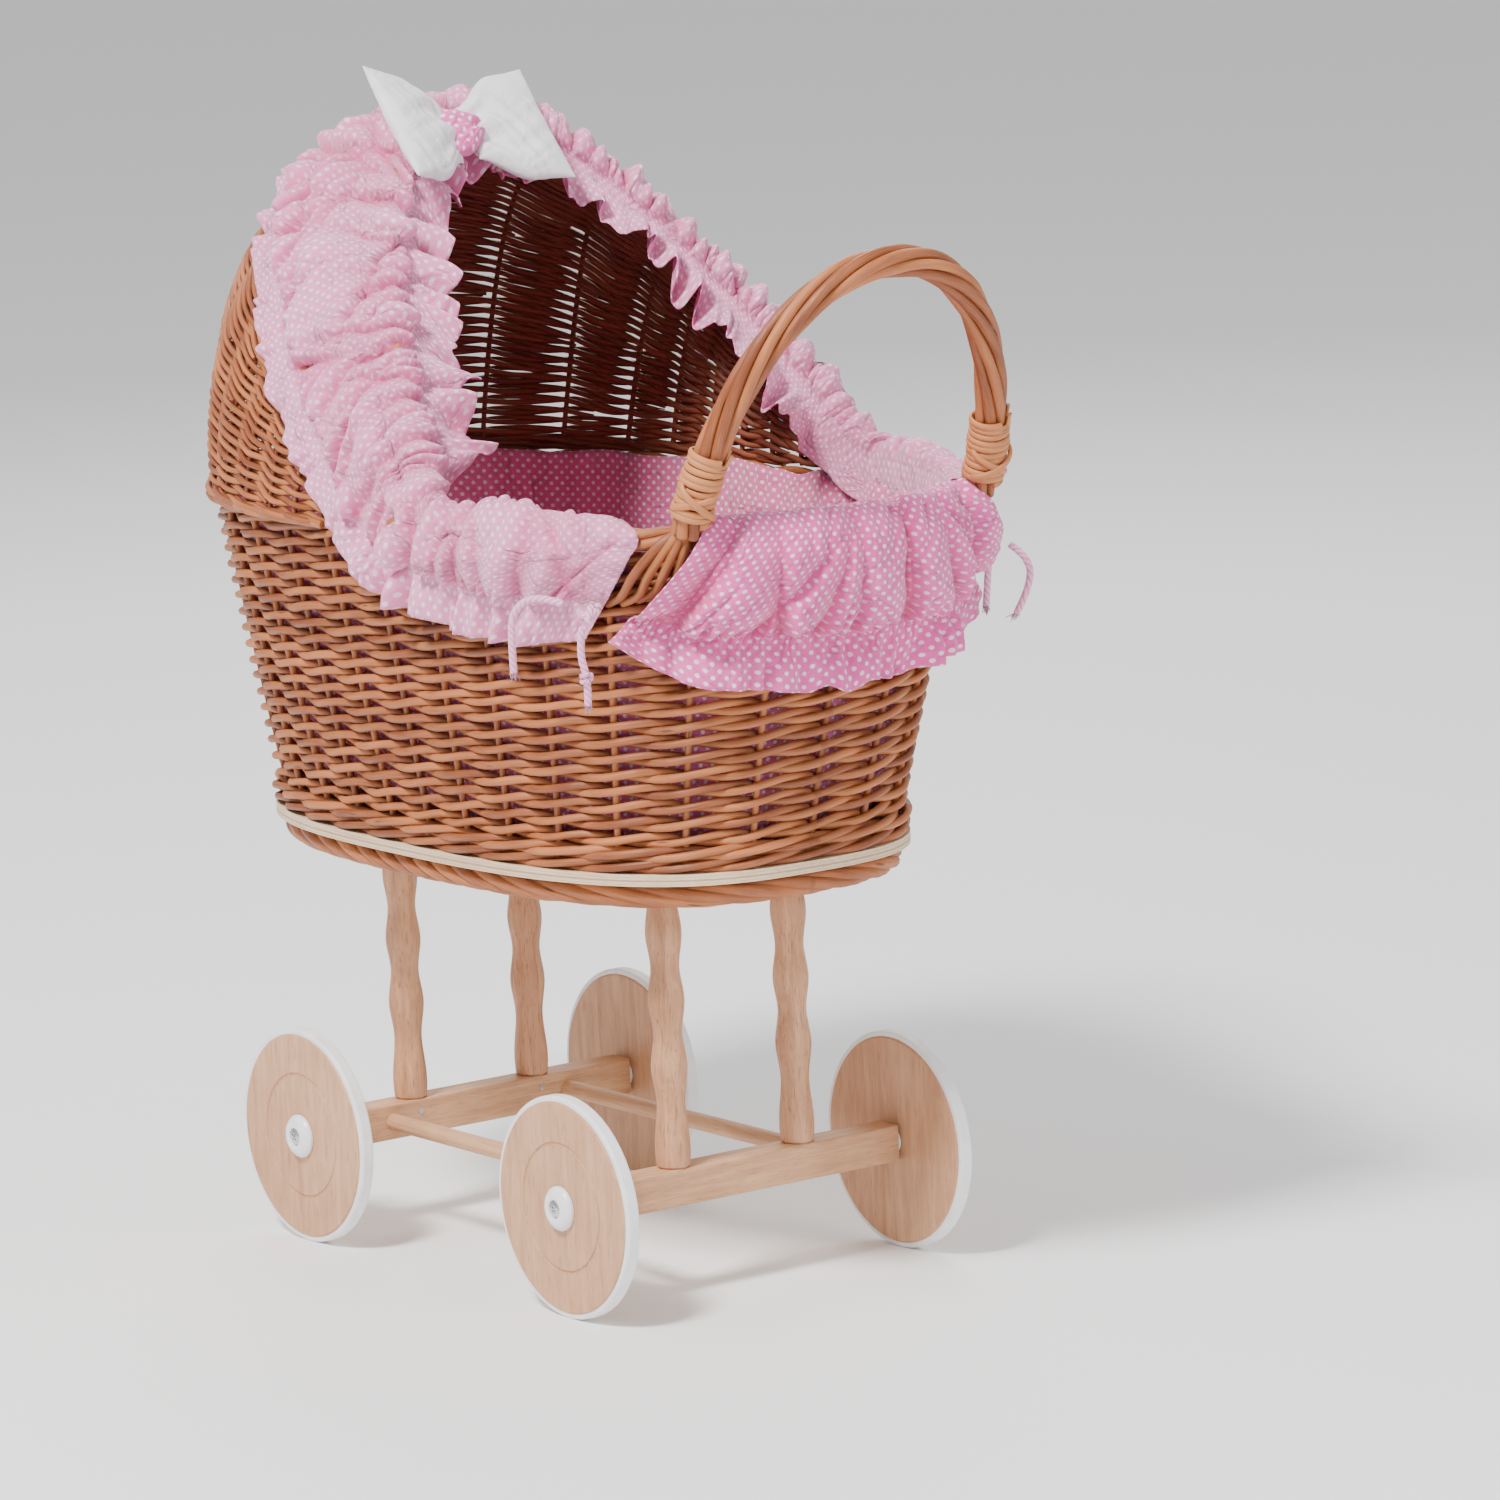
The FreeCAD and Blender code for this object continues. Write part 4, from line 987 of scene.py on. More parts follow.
def makeHandle():
    line = evenly(handleLine(np.linspace(0, math.pi, 801)), 260)
    side = np.array((math.cos(handle["lean"]), 0, -math.sin(handle["lean"])))
    across, other = frames(line, side)
    share = np.linspace(0, 1, len(line))
    leftFoot, rightFoot = (0.06 * np.exp(-((share - place) / 0.05) ** 2) for place in (0.055, 0.945))
    squeeze = 1 - leftFoot - rightFoot
    rods = ropeRods(line, across * squeeze[:, None], other * squeeze[:, None], handle["turns"],
                    handle["rods"], 0.0059, False,
                    handed=-1)
    rods.append(rod(line, across, thickness=1.0))
    arch = weaveRods("handleArch", rods, handle["rodRadius"], willow, sides=10, unevenness=0.10, seed=11.0)

    bindings = []
    for sideName, mirrored in (("left", 1), ("right", -1)):
        foot = line * (1, mirrored, 1)
        run = runAlong(foot)
        steps = 18 * handle["wraps"]
        wrap = np.linspace(0, handle["wraps"], steps)
        place = 0.009 + wrap / handle["wraps"] * handle["bindingLength"]
        pitchWave = 0.0004 * np.sin(wrap * 2.4)
        middle = readAt(foot, run, place + pitchWave)
        a, b = frames(middle, side)
        radius = 0.0104 + 0.0004 * np.sin(wrap * 1.3)
        spin = 2 * math.pi * wrap
        out = a * np.cos(spin)[:, None] + b * np.sin(spin)[:, None]
        strands = [rod(middle + out * radius[:, None], out, tone=0.8)]
        # The end of the strip crosses the wraps on the outside and is tucked in.
        crossing = np.linspace(0, 1, 26)
        place = 0.012 + crossing * 0.018
        middle = readAt(foot, run, place)
        a, b = frames(middle, side)
        spin = lerp(-1.9, 1.2, crossing) * mirrored - 0.5
        out = a * np.cos(spin)[:, None] + b * np.sin(spin)[:, None]
        lift = 0.0118 - 0.0030 * (2 * crossing - 1) ** 6
        strands.append(rod(middle + out * lift[:, None], out, tone=0.9))
        spin = lerp(1.1, -1.6, crossing) * mirrored - 0.2
        out = a * np.cos(spin)[:, None] + b * np.sin(spin)[:, None]
        strands.append(rod(middle + out * (lift + 0.0012)[:, None], out, tone=0.7))
        # Two stubs stand proud of the last wrap.
        for stub in (0.6, 1.5):
            place = 0.009 + handle["bindingLength"] + np.linspace(-0.006, 0.0045, 7)
            middle = readAt(foot, run, place)
            a, b = frames(middle, side)
            out = a * math.cos(stub) + b * math.sin(stub)
            strands.append(rod(middle + out * np.linspace(0.0095, 0.0112, 7)[:, None], out, thickness=0.85,
                               tone=0.9))
        bindings.append(weaveRods("handleBinding" + sideName.title(), strands, 0.00205, willowPale, sides=9,
                                  flatness=0.66,
                                  seed=12.0))
    return arch, bindings


def makeTails(sign, name):
    # Rod ends fan out below the binding and are tucked into the wall.
    ends = ((-23.2, 0.4165, 0.0025), (-25.0, 0.413, 0.0032), (-26.9, 0.411, 0.0036), (-28.9, 0.4105, 0.0030))
    strands = []
    for k, (degrees, height, out) in enumerate(ends):
        spread = (k - 1.5) / 1.5
        start = np.array((handle["footX"] - 0.001 - 0.0048 * spread,
                          sign * -(handle["halfSpan"] + 0.0008 - 0.0036 * spread), 0.458))
        knots = [start, start + (-0.001, 0, -0.010)]
        for share, rise in ((0.35, 0.440), (0.62, 0.431), (0.85, 0.421)):
            angle = sign * math.radians(lerp(-21.4 - 0.6 * spread, degrees, share))
            knots.append(rimPoint(np.array(angle), np.array(rise), 0.0066) if rise > 0.434
                         else wallPoint(np.array(angle), np.array(rise), 0.0072 + 0.0008 * (k % 2)))
        knots.append(wallPoint(np.array(sign * math.radians(degrees)), np.array(height), out))
        knots.append(wallPoint(np.array(sign * math.radians(degrees - 1.6)), np.array(height - 0.006),
                               -0.004))
        line = catmull(np.array(knots), np.linspace(0, len(knots) - 1, 40))
        strands.append(rod(line, unit(line * (1, 1, 0)), thickness=np.linspace(1.0, 0.86, 40)))
    return weaveRods(name, strands, 0.0029, willow, sides=8, seed=13.0)


arch, bindings = makeHandle()
settle(arch, ["handle_arch"])
for piece, side, sign in zip(bindings, ("left", "right"), (1, -1)):
    settle(piece, ["handle_binding_" + side])
    settle(makeTails(sign, "handleTails" + side.title()), ["handle_tails_" + side])


# Cloth helpers.
def clothSheet(name, grid, material, reverse, creaseShade=None, thickness=0.0007):
    # A grid of points (rows across, columns along) becomes a thin sheet with cloth coordinates.
    rows, columns = grid.shape[:2]
    across = np.linalg.norm(np.diff(grid, axis=0), axis=2).mean(axis=1)
    along = np.linalg.norm(np.diff(grid, axis=1), axis=2)
    along = np.percentile(along, 60, axis=0)
    v = np.concatenate([[0], np.cumsum(across)])
    u = np.concatenate([[0], np.cumsum(along)])
    mesh = bpy.data.meshes.new(name)
    index = np.arange(rows * columns).reshape(rows, columns)
    quads = np.stack([index[:-1, :-1], index[:-1, 1:], index[1:, 1:], index[1:, :-1]], axis=-1).reshape(-1, 4)
    mesh.from_pydata(grid.reshape(-1, 3).tolist(), [], quads.tolist())
    uv = np.stack(np.meshgrid(u, v), axis=-1).reshape(-1, 2)
    mesh.uv_layers.new(name="cloth").data.foreach_set("uv", uv[quads.ravel()].astype(np.float32).ravel())
    mesh.polygons.foreach_set("use_smooth", np.ones(len(quads), bool))
    # Per-point share of painted shade for the cloth's creases.
    depth = np.zeros(rows * columns) if creaseShade is None else np.clip(creaseShade, 0, 1).ravel()
    mesh.attributes.new("creaseShade", "FLOAT", "POINT").data.foreach_set("value", depth.astype(np.float32))
    mesh.materials.append(material)
    mesh.materials.append(reverse)
    piece = addObject(name, mesh)
    thick = piece.modifiers.new("thickness", "SOLIDIFY")
    thick.thickness = thickness
    thick.offset = 0
    thick.material_offset = 1
    return piece


def gridNormals(grid):
    return unit(np.cross(np.gradient(grid, axis=1), np.gradient(grid, axis=0)))


def creases(u, v, count, seed, length, reach, width, depth, slant):
    # Valleys that start at the gathering line v = 0, each with its own lean.
    # One side is steep and the other gentle.
    parts = np.random.default_rng(seed)
    total = np.zeros(np.broadcast(u, v).shape)
    rise = np.abs(v)
    for k in range(count):
        place = (k + parts.uniform(0.05, 0.95)) / count * length
        lean = parts.normal(slant[0], slant[1])
        bend = parts.normal(0, 2.5)
        far = parts.uniform(*reach)
        wide = parts.uniform(*width)
        deep = parts.uniform(*depth)
        steep = 1 if parts.random() < 0.75 else -1
        across = (u - (place + lean * v + bend * v * rise)) * steep
        wideHere = wide * (1 + 7 * rise)
        near = np.abs(across) / np.where(across > 0, wideHere * 0.8, wideHere * 2.2)
        fade = np.clip(1 - rise / far, 0, 1)
        valley = deep * np.exp(-near ** 1.3) * fade ** 0.6
        total = np.maximum(total, valley) + 0.25 * np.minimum(total, valley)
    return total


def ripple(u, wave, seed, sharp=1.0):
    parts = np.random.default_rng(seed)
    a, b, c, d = parts.uniform(0, 6.28, 4)
    turn = 2 * math.pi * u / wave
    value = np.sin(turn + 1.5 * np.sin(turn / 2.7 + a) + 1.3 * np.sin(turn / 6.1 + b) + 0.5
                   * np.sin(turn / 1.37 + d))
    value = value * (0.66 + 0.34 * np.sin(turn / 3.9 + c))
    return np.sign(value) * np.abs(value) ** sharp


def tensor(controls, rows, columns):
    # controls: sections across, stations along.
    at = np.linspace(0, len(controls) - 1, rows)
    wide = catmull(controls, at)
    long = catmull(np.swapaxes(wide, 0, 1), np.linspace(0, wide.shape[1] - 1, columns))
    return np.swapaxes(long, 0, 1)


# Foot valance.
footCloth = {"hemMiddle": 0.3525, "hemCorner": 0.386, "gather": 0.379, "corner": 0.403, "edgeTop": 20.0,
             "edgeHem": 30.8, "top": 0.4495, "columns": 620, "rows": 96}


def makeFootValance():
    s = footCloth
    rows = []
    share = np.linspace(-1, 1, 33)
    turned = np.abs(share) ** 3.2
    hem = lerp(s["hemMiddle"], s["hemCorner"], turned)
    gather = lerp(s["gather"], s["corner"] - 0.006, np.abs(share) ** 2.2)
    profile = ((0.0, 0.0, 0.0150), (0.5, 0.0, 0.0120), (1.0, 0.0, 0.0085), (1.0, 0.18, 0.0125),
               (1.0, 0.45, 0.0125),
               (1.0, 0.72, 0.0095), (1.0, 0.93, 0.0068))
    for frill, body, out in profile:
        height = lerp(lerp(hem, gather, frill), s["top"] - 0.002, body)
        edge = np.radians(np.interp(height, [0.386, 0.403, 0.442], [s["edgeHem"], 27.2, s["edgeTop"]]))
        angle = share * np.where(height < 0.386, math.radians(s["edgeHem"]), edge)
        line = np.where((height > tub["top"])[:, None], rimPoint(angle, height, out),
                        wallPoint(angle, height, out))
        rows.append(line)
    edge = share * math.radians(s["edgeTop"])
    for out, height in ((0.0028, 0.4515), (-0.0040, 0.4525), (-0.0115, 0.4508), (-0.0150, 0.4440),
                        (-0.0160, 0.4340),
                        (-0.0175, 0.4200)):
        rows.append(rimPoint(edge, np.full(edge.shape, height), out))
    controls = np.array(rows)
    grid = tensor(controls, s["rows"], s["columns"])
    normal = gridNormals(grid)
    if (normal[s["rows"] // 3, s["columns"] // 2] @ np.array((1, 0, 0))) < 0:
        normal = -normal
    u = runAlong(grid[s["rows"] // 3])[None, :]
    steps = np.linalg.norm(np.diff(grid, axis=0), axis=2)
    v = np.concatenate([np.zeros((1, s["columns"])), np.cumsum(steps, axis=0)])
    gatherRow = int(round(2 / (len(controls) - 1) * (s["rows"] - 1)))
    v = v - v[gatherRow][None, :]
    above = smooth(0.0, 0.006, v)
    topRun = 0.075
    folds = creases(u, v, 11, 21, u.max(), (0.07, 0.13), (0.0030, 0.0055), (0.010, 0.0160), (-0.15, 0.35))
    folds = np.maximum(folds, creases(u, v, 30, 22, u.max(), (0.018, 0.060), (0.0018, 0.0032),
                                      (0.004, 0.008), (0.0, 0.35)))
    puckers = creases(u, v, 80, 23, u.max(), (0.006, 0.020), (0.0010, 0.0020), (0.0035, 0.0065), (0.0, 0.25))
    topFolds = creases(u, topRun - v, 12, 24, u.max(), (0.03, 0.06), (0.003, 0.005), (0.003, 0.007),
                       (0.15, 0.3))
    frillShare = smooth(0, -0.024, v)
    wave = ripple(u, 0.036, 25, 0.8) * 0.0072 * frillShare
    wave = wave + ripple(u, 0.0150, 26) * 0.0024 * smooth(0, -0.009, v)
    puff = 0.0100 * above * smooth(topRun + 0.012, topRun - 0.02, v)
    overRim = smooth(topRun + 0.02, topRun - 0.005, v)
    shift = puff - folds * above * overRim - puckers * (0.5 + 0.5 * above)
    shift = shift - topFolds * smooth(0.002, 0.03, v) * overRim * 0.6
    shift = np.maximum(shift, -0.0050)
    inside = smooth(topRun + 0.01, topRun + 0.05, v)
    shift = shift + wave + inside * (ripple(u, 0.046, 27) * 0.0016 + 0.0008)
    shift = shift + (ripple(u + 0.5 * v, 0.019, 28) + ripple(u - 0.8 * v, 0.027, 128)) * 0.0006 * above
    grid = grid + normal * shift[..., None]
    hemWave = ripple(u, 0.041, 29) * 0.0022 * frillShare
    grid[..., 2] += hemWave
    # Painted shade share: deep fold valleys, puckers and the frill's troughs.
    creaseShade = (folds * above * overRim + puckers) / 0.013 + np.clip(-wave, 0, 1) / 0.016 * frillShare
    return clothSheet("footValance", grid, dottedCotton, dottedReverse, creaseShade ** 1.3)


settle(makeFootValance(), ["foot_valance"])


# Hood and side valance, one long band.
band = {"columns": 1500, "rows": 92, "crown": 0.095, "side": 0.070, "frill": 0.030, "borderRadius": 0.0065}


def wickerTree():
    # The tub's and the hood's outer faces, to lay cloth on.
    places = []
    faces = []
    for node in ("hood_weave", "basket_wall"):
        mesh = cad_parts[node].data
        first = len(places)
        places += [v.co.copy() for v in mesh.vertices]
        faces += [[first + i for i in p.vertices] for p in mesh.polygons]
    return BVHTree.FromPolygons(places, faces)


def hoodBand(sweep, distance, out):
    # Walks from the opening edge down the hood, then down the tub.
    line = hoodPoint(np.linspace(1, 0, 61), np.full(61, sweep), np.full(61, out))
    run = runAlong(line)
    if distance <= run[-1]:
        return np.array([np.interp(distance, run, line[:, k]) for k in range(3)])
    foot = line[-1]
    return wallPoint(np.array(math.atan2(foot[1], foot[0])), np.array(foot[2] - (distance - run[-1])),
                     np.array(out))


def bandStations(ends=(-26.6, -30.0, -34.5)):
    # For each station: hem, border centre, outward, forward, and how far it belongs to the hood.
    stations = []
    borderHeight = 0.4420
    for rimAngle, hemAngle, hemHeight in ((ends[0], -33.4, 0.3865), (ends[1], -36.0, 0.3840),
                                          (ends[2], -39.5, 0.3830),
                                          (-40.0, -44.0, 0.3830), (-46.0, -49.5, 0.3835),
                                          (-52.5, -55.0, 0.3860),
                                          (-59.0, -62.0, 0.3920)):
        angle = math.radians(rimAngle)
        centre = rimPoint(np.array(angle), np.array(borderHeight), -0.0045)
        hem = wallPoint(np.array(math.radians(hemAngle)), np.array(hemHeight), 0.0)
        outward = unit(rimPoint(np.array(angle), np.array(borderHeight), 0.01)
                       - rimPoint(np.array(angle), np.array(borderHeight)))
        stations.append({"hem": hem, "centre": centre, "outward": outward, "forward": np.array((0, 0, 1.0)),
                         "hood": 0.0})
    for degrees in (-77, -71, -65, -59, -52, -45, -38, -31, -24, -16, -8, 0):
        sweep = math.radians(degrees)
        length = lerp(band["crown"], band["side"], min(abs(degrees) / 60, 1))
        one = np.array(1.0)
        centre = hoodPoint(one, np.array(sweep), one * -0.0035, one * 0.0068)
        base = hoodPoint(one, np.array(sweep))
        outward = unit(hoodPoint(one, np.array(sweep), one * 0.001) - base)
        forward = unit(hoodPoint(one, np.array(sweep), one * 0, one * 0.001) - base)
        stations.append({"hem": hoodBand(sweep, length, 0.0), "centre": centre, "outward": outward,
                         "forward": forward,
                         "hood": smooth(-80, -64, degrees)})
    return stations


def mirroredStations(stations):
    flip = np.array((1, -1, 1))
    return [{key: (value * flip if key != "hood" else value) for key, value in station.items()}
            for station in reversed(stations[:-1])]


def makeBand():
    s = band
    tree = wickerTree()
    stations = bandStations() + mirroredStations(bandStations(ends=(-22.6, -27.5, -33.5)))
    count = len(stations)
    hems = np.array([st["hem"] for st in stations])
    centres = np.array([st["centre"] for st in stations])
    outs = np.array([st["outward"] for st in stations])
    forwards = np.array([st["forward"] for st in stations])
    inHood = np.array([float(st["hood"]) for st in stations])
    snug = np.zeros(count)
    snug[[0, 1, 2, -1, -2, -3]] = (1.0, 0.8, 0.4, 1.0, 0.8, 0.4)
    wrap = s["borderRadius"] + 0.0020
    sections = []
    frillRun = lerp(0.024, 0.014, inHood)
    bandRun = np.linalg.norm(centres - hems, axis=1)
    outerEdge = centres + outs * wrap
    for place, lift in ((0.0, 0.0085), (0.5, 0.0070), (1.0, 0.0045), (1.25, 0.0072), (1.6, 0.0090),
                        (2.0, 0.0098),
                        (2.4, 0.0088), (2.75, 0.0062)):
        frillShare = frillRun / bandRun
        share = np.where(place <= 1, place * frillShare, frillShare + (place - 1) / 2 * (1 - frillShare))
        row = []
        for k in range(count):
            chord = lerp(hems[k], outerEdge[k], share[k])
            near, normal, _, _ = tree.find_nearest(Vector(chord))
            normal = np.array(normal)
            side = unit(np.array((0.0, chord[1], 0.0)) + 0.25 * (chord - np.array((0.02, 0, 0.43))))
            if normal @ side < 0:
                normal = -normal
            # On the tub the nearest face may be its top, so the outward direction is kept level.
            normal = unit(lerp(normal, outs[k], 0.35))
            row.append(np.array(near) + normal * lift * (1 - 0.55 * snug[k]))
        sections.append(row)
    for degrees in (10, 55, 100, 150):
        t = math.radians(degrees)
        spread = (wrap * lerp(1.0, 1.12, 1 - inHood) * (1 - 0.20 * snug))[:, None]
        middle = centres.copy()
        middle[0] = lerp(centres[0], centres[1], 0.9 * degrees / 150)
        sections.append(middle + outs * math.cos(t) * spread + forwards * math.sin(t) * spread)
    # Inner side: a free frill in the hood's mouth, a turned-in flap along the tub's rim.
    frillOut = s["frill"]
    for share in (0.25, 0.6, 1.0):
        frill = centres - outs * (wrap + frillOut * share) + forwards * (0.003 + 0.004 * share)
        flap = middle - outs * (wrap * 1.1 + 0.0015 * share) - forwards * (0.004 + 0.020 * share)
        sections.append(lerp(flap, frill, inHood[:, None]))
    controls = np.array(sections)
    # Stations are spread evenly over the band's length.
    mean = controls.mean(axis=0)
    run = runAlong(mean)
    at = np.interp(np.linspace(0, run[-1], s["columns"]), run, np.arange(count))
    wide = catmull(controls, np.linspace(0, len(controls) - 1, s["rows"]))
    grid = np.swapaxes(catmull(np.swapaxes(wide, 0, 1), at), 0, 1)
    hoodShare = np.interp(at, np.arange(count), inHood)[None, :]
    snugShare = np.interp(at, np.arange(count), snug)[None, :]
    normal = gridNormals(grid)
    middle = grid[s["rows"] // 3, s["columns"] // 2]
    if normal[s["rows"] // 3, s["columns"] // 2] @ (middle - np.array((0.05, 0, 0.43))) < 0:
        normal = -normal
    bodyRow = int(round(5 / (len(controls) - 1) * (s["rows"] - 1)))
    u = runAlong(grid[bodyRow])[None, :]
    steps = np.linalg.norm(np.diff(grid, axis=0), axis=2)
    v = np.concatenate([np.zeros((1, s["columns"])), np.cumsum(steps, axis=0)])
    gatherRow = int(round(2 / (len(controls) - 1) * (s["rows"] - 1)))
    innerRow = int(round(11 / (len(controls) - 1) * (s["rows"] - 1)))
    fromHem = v - v[gatherRow][None, :]
    toInner = v[innerRow][None, :] - v
    above = smooth(0.0, 0.007, fromHem)
    before = smooth(0.0, 0.008, toInner)
    length = u.max()
    folds = creases(u, fromHem, 62, 31, length, (0.045, 0.12), (0.0026, 0.0055), (0.008, 0.0150), (0.12, 0.5))
    folds = np.maximum(folds, creases(u, fromHem, 170, 32, length, (0.010, 0.034), (0.0012, 0.0024),
                                      (0.004, 0.0080), (0.0, 0.4)))
    back = creases(u, toInner, 66, 33, length, (0.040, 0.12), (0.0026, 0.0052), (0.008, 0.0150),
                   (-0.12, 0.55))
    back = np.maximum(back, creases(u, toInner, 190, 34, length, (0.008, 0.034), (0.0012, 0.0024),
                                    (0.004, 0.0085), (0.0, 0.4)))
    hemFrill = smooth(0, -0.020, fromHem)
    innerFrill = smooth(0, -0.026, toInner)
    shift = 0.0105 * above * before + ripple(u + 0.3 * fromHem, 0.033, 35) * 0.0018 * above * before
    valleys = np.maximum(folds, back * lerp(0.7, 1.0, hoodShare)) * above * before
    shift -= valleys
    shift = np.maximum(shift, -0.0028)
    shift += (ripple(u + 0.6 * fromHem, 0.018, 135)
              + ripple(u - 0.7 * fromHem, 0.025, 136)) * 0.0006 * above * before
    flutes = ripple(u, 0.031, 36, 0.8) * hemFrill
    shift += flutes * lerp(0.0066, 0.0056, hoodShare)
    shift += ripple(u, 0.0125, 37) * 0.0020 * smooth(0, -0.008, fromHem)
    grid = grid + normal * (shift * (1 - 0.8 * snugShare))[..., None]
    # The free inner frill swings in front of and behind the opening's plane.
    forwardAll = catmull(forwards, at)[None]
    outAll = catmull(outs, at)[None]
    swing = ripple(u, 0.040, 38, 0.7) * 0.0125 + ripple(u, 0.017, 39) * 0.004
    grid += forwardAll * (swing * innerFrill * hoodShare)[..., None]
    grid -= outAll * ((ripple(u, 0.052, 40) * 0.0060 + ripple(u, 0.021, 140) * 0.0025 + 0.002) * innerFrill
                      * hoodShare)[..., None]
    grid += outAll * (ripple(u, 0.026, 41) * 0.0015 * innerFrill * (1 - hoodShare))[..., None]
    # Painted shade share: fold valleys, flute troughs and where the inner frill swings back.
    creaseShade = valleys / 0.0135 + 0.45 * np.clip(-flutes, 0, 1)
    creaseShade = creaseShade + 0.5 * np.clip(-swing / 0.012, 0, 1) * innerFrill * hoodShare
    return clothSheet("hoodValance", grid, dottedCotton, dottedReverse, creaseShade ** 1.3)


hoodValance = makeBand()
settle(hoodValance, ["hood_valance", "hood_ruffle", "side_valance_left", "side_valance_right"])


# Lining.
liningCloth = {"inset": 0.0125, "top": 0.4330, "floor": 0.2535}


def makeLining():
    s = liningCloth
    angle = np.linspace(0, 2 * math.pi, 421)
    rows = []
    for share in np.linspace(0.02, 0.93, 16):
        edge = wallPoint(angle, np.full(angle.shape, s["floor"]), -s["inset"])
        rows.append(np.stack([edge[:, 0] * share, edge[:, 1] * share,
                              np.full(angle.shape, s["floor"] + 0.0006) + 0.0012
                              * wander(angle, int(share * 40), 2)], axis=1))
    for share in np.linspace(0, 1, 40):
        height = s["floor"] + 0.001 + share * (s["top"] - s["floor"] - 0.001)
        fold = 0.0022 * ripple(angle * 0.2, 0.052, 51) * share
        fold = fold + 0.0012 * ripple(angle * 0.2, 0.023, 52) * share ** 2
        corner = 0.012 * (1 - share) ** 8
        rise = 0.0025 * ripple(angle * 0.2, 0.090, 53) * share ** 6
        line = wallPoint(angle, np.full(angle.shape, height), -s["inset"] - corner + np.minimum(fold, 0.0015))
        line[:, 2] += rise
        rows.append(line)
    return clothSheet("liningCup", np.array(rows), liningCotton, liningCotton)


settle(makeLining(), ["lining"])


# Bow.
def boxCentre(node):
    low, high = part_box(node)
    return np.array([(a + b) / 2 for a, b in zip(low, high)])


bowLean = math.pi / 2 - hood["lean"]
bowAxes = {"across": np.array((0, 1, 0)), "up": np.array((-math.sin(bowLean), 0, math.cos(bowLean))),
           "out": np.array((math.cos(bowLean), 0, math.sin(bowLean)))}


def pillow(name, centre, halfWidth, halfHeight, thick, pinchSide, material, seed, turn=0.0):
    # Crowned cushion of two faces, drawn in at the side where the knot holds it.
    size = 46
    a = np.linspace(-1, 1, size)
    x, y = np.meshgrid(a, a)
    parts = []
    for face in (1, -1):
        crown = ((1 - np.abs(x) ** 2.6) * (1 - np.abs(y) ** 2.6)) ** 0.55
        towards = (x * pinchSide + 1) / 2
        pinch = lerp(1.0, 0.46, smooth(0.45, 1.0, towards))
        bite = 1 - 0.10 * (1 - np.abs(y) ** 2) * np.abs(x) ** 3
        biteY = 1 - 0.08 * (1 - np.abs(x) ** 2) * np.abs(y) ** 3
        px = x * halfWidth * bite
        py = y * halfHeight * pinch * biteY
        spokes = 0.0016 * np.sin(y * 9 + seed + 2 * np.sin(x * 3 + seed)) * smooth(0.25, 1.0, towards)
        rumple = 0.0007 * ripple(x * 0.03 + y * 0.02, 0.013, seed)
        spokes += rumple + 0.0006 * ripple(y * 0.03 - x * 0.01, 0.010, seed + 1)
        pz = face * (crown * thick + crown * spokes)
        fold = smooth(0.35, 1.0, towards) * 0.0030 * np.sin(y * 7.5 + seed)
        pz = pz + fold * (1 - np.abs(y) ** 2)
        parts.append((px, py, pz, face))
    vertices = []
    faces = []
    for px, py, pz, face in parts:
        first = len(vertices)
        ct, st = math.cos(turn), math.sin(turn) * -pinchSide
        place = (centre + bowAxes["across"] * (px * ct - pz * st)[..., None] + bowAxes["up"] * py[..., None]
                 + bowAxes["out"] * (px * st + pz * ct)[..., None])
        vertices += place.reshape(-1, 3).tolist()
        for r in range(size - 1):
            for c in range(size - 1):
                quad = [first + r * size + c, first + r * size + c + 1, first + (r + 1) * size + c + 1,
                        first + (r + 1) * size + c]
                faces.append(quad if face > 0 else quad[::-1])
    mesh = bpy.data.meshes.new(name)
    mesh.from_pydata(vertices, [], faces)
    work = bmesh.new()
    work.from_mesh(mesh)
    bmesh.ops.remove_doubles(work, verts=work.verts, dist=0.00001)
    bmesh.ops.recalc_face_normals(work, faces=work.faces)
    layer = work.loops.layers.uv.new("cloth")
    for corner in (loop for f in work.faces for loop in f.loops):
        offset = np.array(corner.vert.co) - centre
        corner[layer].uv = (offset @ bowAxes["across"], offset @ bowAxes["up"])
    work.to_mesh(mesh)
    work.free()
    mesh.polygons.foreach_set("use_smooth", np.ones(len(mesh.polygons), bool))
    mesh.materials.append(material)
    piece = addObject(name, mesh)
    soften = piece.modifiers.new("soft", "SUBSURF")
    soften.levels = soften.render_levels = 1
    settle(piece, [])
    return piece


def makeBow():
    knot = boxCentre("bow_knot")
    drop = -0.008 * bowAxes["up"]
    left = pillow("bowLoopLeft", knot + drop + (0, -0.031, 0) + 0.010 * bowAxes["out"], 0.029, 0.040, 0.0085,
                  1,
                  plainCotton, 3, turn=0.42)
    right = pillow("bowLoopRight", knot + drop + (0, 0.032, 0) + 0.002 * bowAxes["out"], 0.028, 0.040,
                   0.0095, -1,
                   plainCotton, 8, turn=0.05)
    middle = pillow("bowKnot", knot + drop + 0.003 * bowAxes["out"], 0.0135, 0.0165, 0.0085, 1, dottedCotton,
                    5, turn=0.0)
    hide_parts("bow_loop_left")
    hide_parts("bow_loop_right")
    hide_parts("bow_knot")


makeBow()


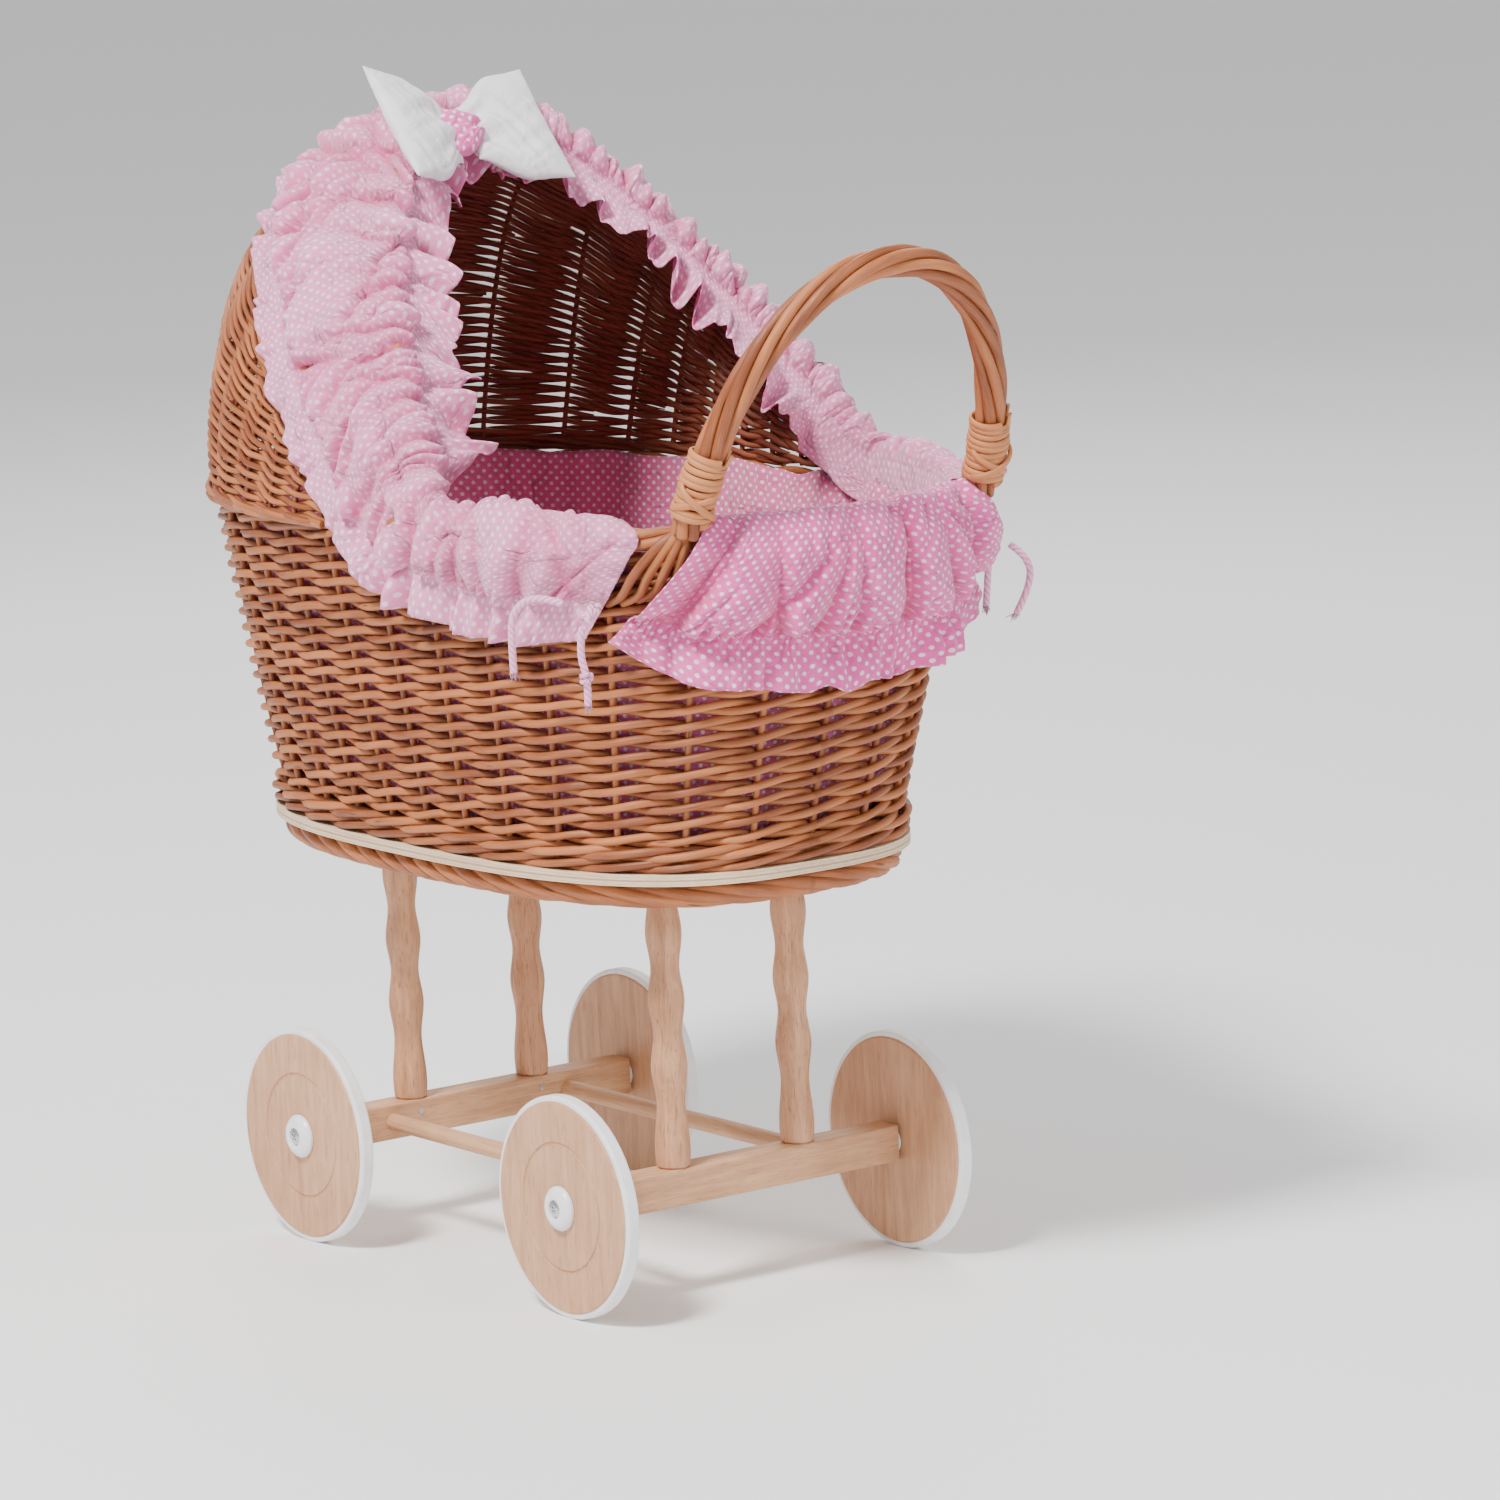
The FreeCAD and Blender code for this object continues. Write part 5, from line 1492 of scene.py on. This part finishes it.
# Ties.
def twistedMaterial():
    # Soft twisted cotton cord: three plies wind along it.
    material, tree, shader = newMaterial("twistedCotton", Sheen_Weight=0.5, Sheen_Roughness=0.5,
                                         Specular_IOR_Level=0.2)
    parts = addNode(tree, "ShaderNodeSeparateXYZ", {0: attribute(tree, "grain")})
    around = maths(tree, "ARCTAN2", parts.outputs[1], parts.outputs[0])
    turn = maths(tree, "MULTIPLY", parts.outputs[2], 2 * math.pi / tieCord["twistLength"])
    plies = maths(tree, "ABSOLUTE", maths(tree, "SINE",
                                          maths(tree, "MULTIPLY", maths(tree, "ADD", around, turn), 1.5)))
    fuzz = noise(tree, objectPlace(tree), 2600.0, 3.0)
    height = maths(tree, "ADD", plies, maths(tree, "MULTIPLY", fuzz, 0.35))
    # Painted shade: colour follows the ply height, so the grooves between plies are painted darker; the fuzz
    # varies the fibre tone.
    colour = mixColours(tree, remap(tree, height, 0.1, 0.9), (0.72, 0.20, 0.42, 1), (0.90, 0.44, 0.66, 1))
    dress(tree, shader, colour, remap(tree, fuzz, 0.3, 0.7, 0.82, 0.95), bump(tree, height, 0.0006))
    return material


def makeTies():
    material = twistedMaterial()
    for sideName in ("left", "right"):
        knot = boxCentre("tie_knot_" + sideName)
        strands = []
        for k, (a, b, c) in enumerate(((0.3, 0.9, 0.2), (1.4, 0.2, 1.2), (2.3, 1.1, 2.1))):
            t = np.linspace(0, 2 * math.pi, 29)[:-1]
            loop = np.stack([np.cos(t + a) * 0.0038, np.sin(t + b) * 0.0036,
                             np.sin(t * 2 + c) * 0.0016 + np.cos(t) * 0.0026], axis=1)
            strands.append(rod(knot + loop, unit(loop), True, 1.0))
        piece = weaveRods("tieKnot" + sideName.title(), strands, tieCord["radius"], material, sides=9,
                          seed=15.0)
        settle(piece, ["tie_knot_" + sideName])
    for name, route in ties.items():
        line = splinePoints(name, route)
        run = runAlong(line)
        words = name.split("_")
        pieceName = words[0] + "".join(word.title() for word in words[1:])
        piece = weaveRods(pieceName, [rod(line, np.array((0.3, 0.2, 1.0)))], tieCord["radius"], material,
                          sides=14,
                          unevenness=0.02, seed=16.0)
        settle(piece, [name])
        tip, towards = line[-1], unit(line[-1] - line[-4])
        strands = []
        for k in range(16):
            spread = unit(towards + 0.9 * (random.random(3) - 0.5))
            size = random.uniform(0.003, 0.0062)
            t = np.linspace(0, 1, 6)[:, None]
            curl = 0.0008 * np.sin(t * 3 + k) * random.random(3)
            start = tip - towards * 0.001 + 0.0024 * (random.random(3) - 0.5)
            strands.append(rod(start + spread * size * t + curl, towards, False, np.linspace(1.0, 0.4, 6)))
        if name == "tie_left_front":
            for k in range(2):
                t = np.linspace(0, 2 * math.pi, 25)[:-1]
                loop = np.stack([np.cos(t) * 0.0026, np.sin(t) * 0.0026,
                                 0.0012 * np.sin(t + 2 * k) + 0.002 * k], axis=1)
                place = line[np.searchsorted(run, run[-1] * tieCord["endKnot"])]
                strands.append(rod(place + loop, unit(loop), True, 3.2))
        fray = weaveRods(pieceName + "Fray", strands, 0.00042, material, sides=6, seed=17.0)
        settle(fray, [])
        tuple(route[0])


makeTies()


# Floor and light.
def makeStudio():
    floor = bpy.data.meshes.new("floor")
    reach = 40.0
    floor.from_pydata([(-reach, -reach, 0), (reach, -reach, 0), (reach, reach, 0), (-reach, reach, 0)], [],
                      [(0, 1, 2, 3)])
    piece = addObject("floor", floor)
    material, _, shader = newMaterial("paleFloor", Roughness=0.7, Specular_IOR_Level=0.2)
    shader.inputs["Base Color"].default_value = (0.92, 0.92, 0.92, 1)
    floor.materials.append(material)
    world = bpy.data.worlds.new("studio")
    bpy.context.scene.world = world
    world.use_nodes = True
    world.node_tree.nodes["Background"].inputs["Color"].default_value = (1.0, 1.0, 1.0, 1)
    world.node_tree.nodes["Background"].inputs["Strength"].default_value = 0.7
    middle = Vector((0.05, 0, 0.32))
    for name, place, size, power, warm in (("key", (0.7, -2.1, 3.1), 0.7, 215, (1.0, 0.985, 0.97)),
                                           ("fill", (3.5, 0.6, 1.5), 1.6, 42, (0.98, 0.985, 1.0)),
                                           ("back", (-2.2, 1.6, 2.4), 1.6, 46, (1.0, 1.0, 1.0))):
        data = bpy.data.lights.new(name, "AREA")
        data.size = size
        data.energy = power
        data.color = warm
        lamp = addObject(name, data)
        lamp.location = place
        lamp.rotation_euler = (middle - Vector(place)).to_track_quat("-Z", "Y").to_euler()


makeStudio()
report("studio")
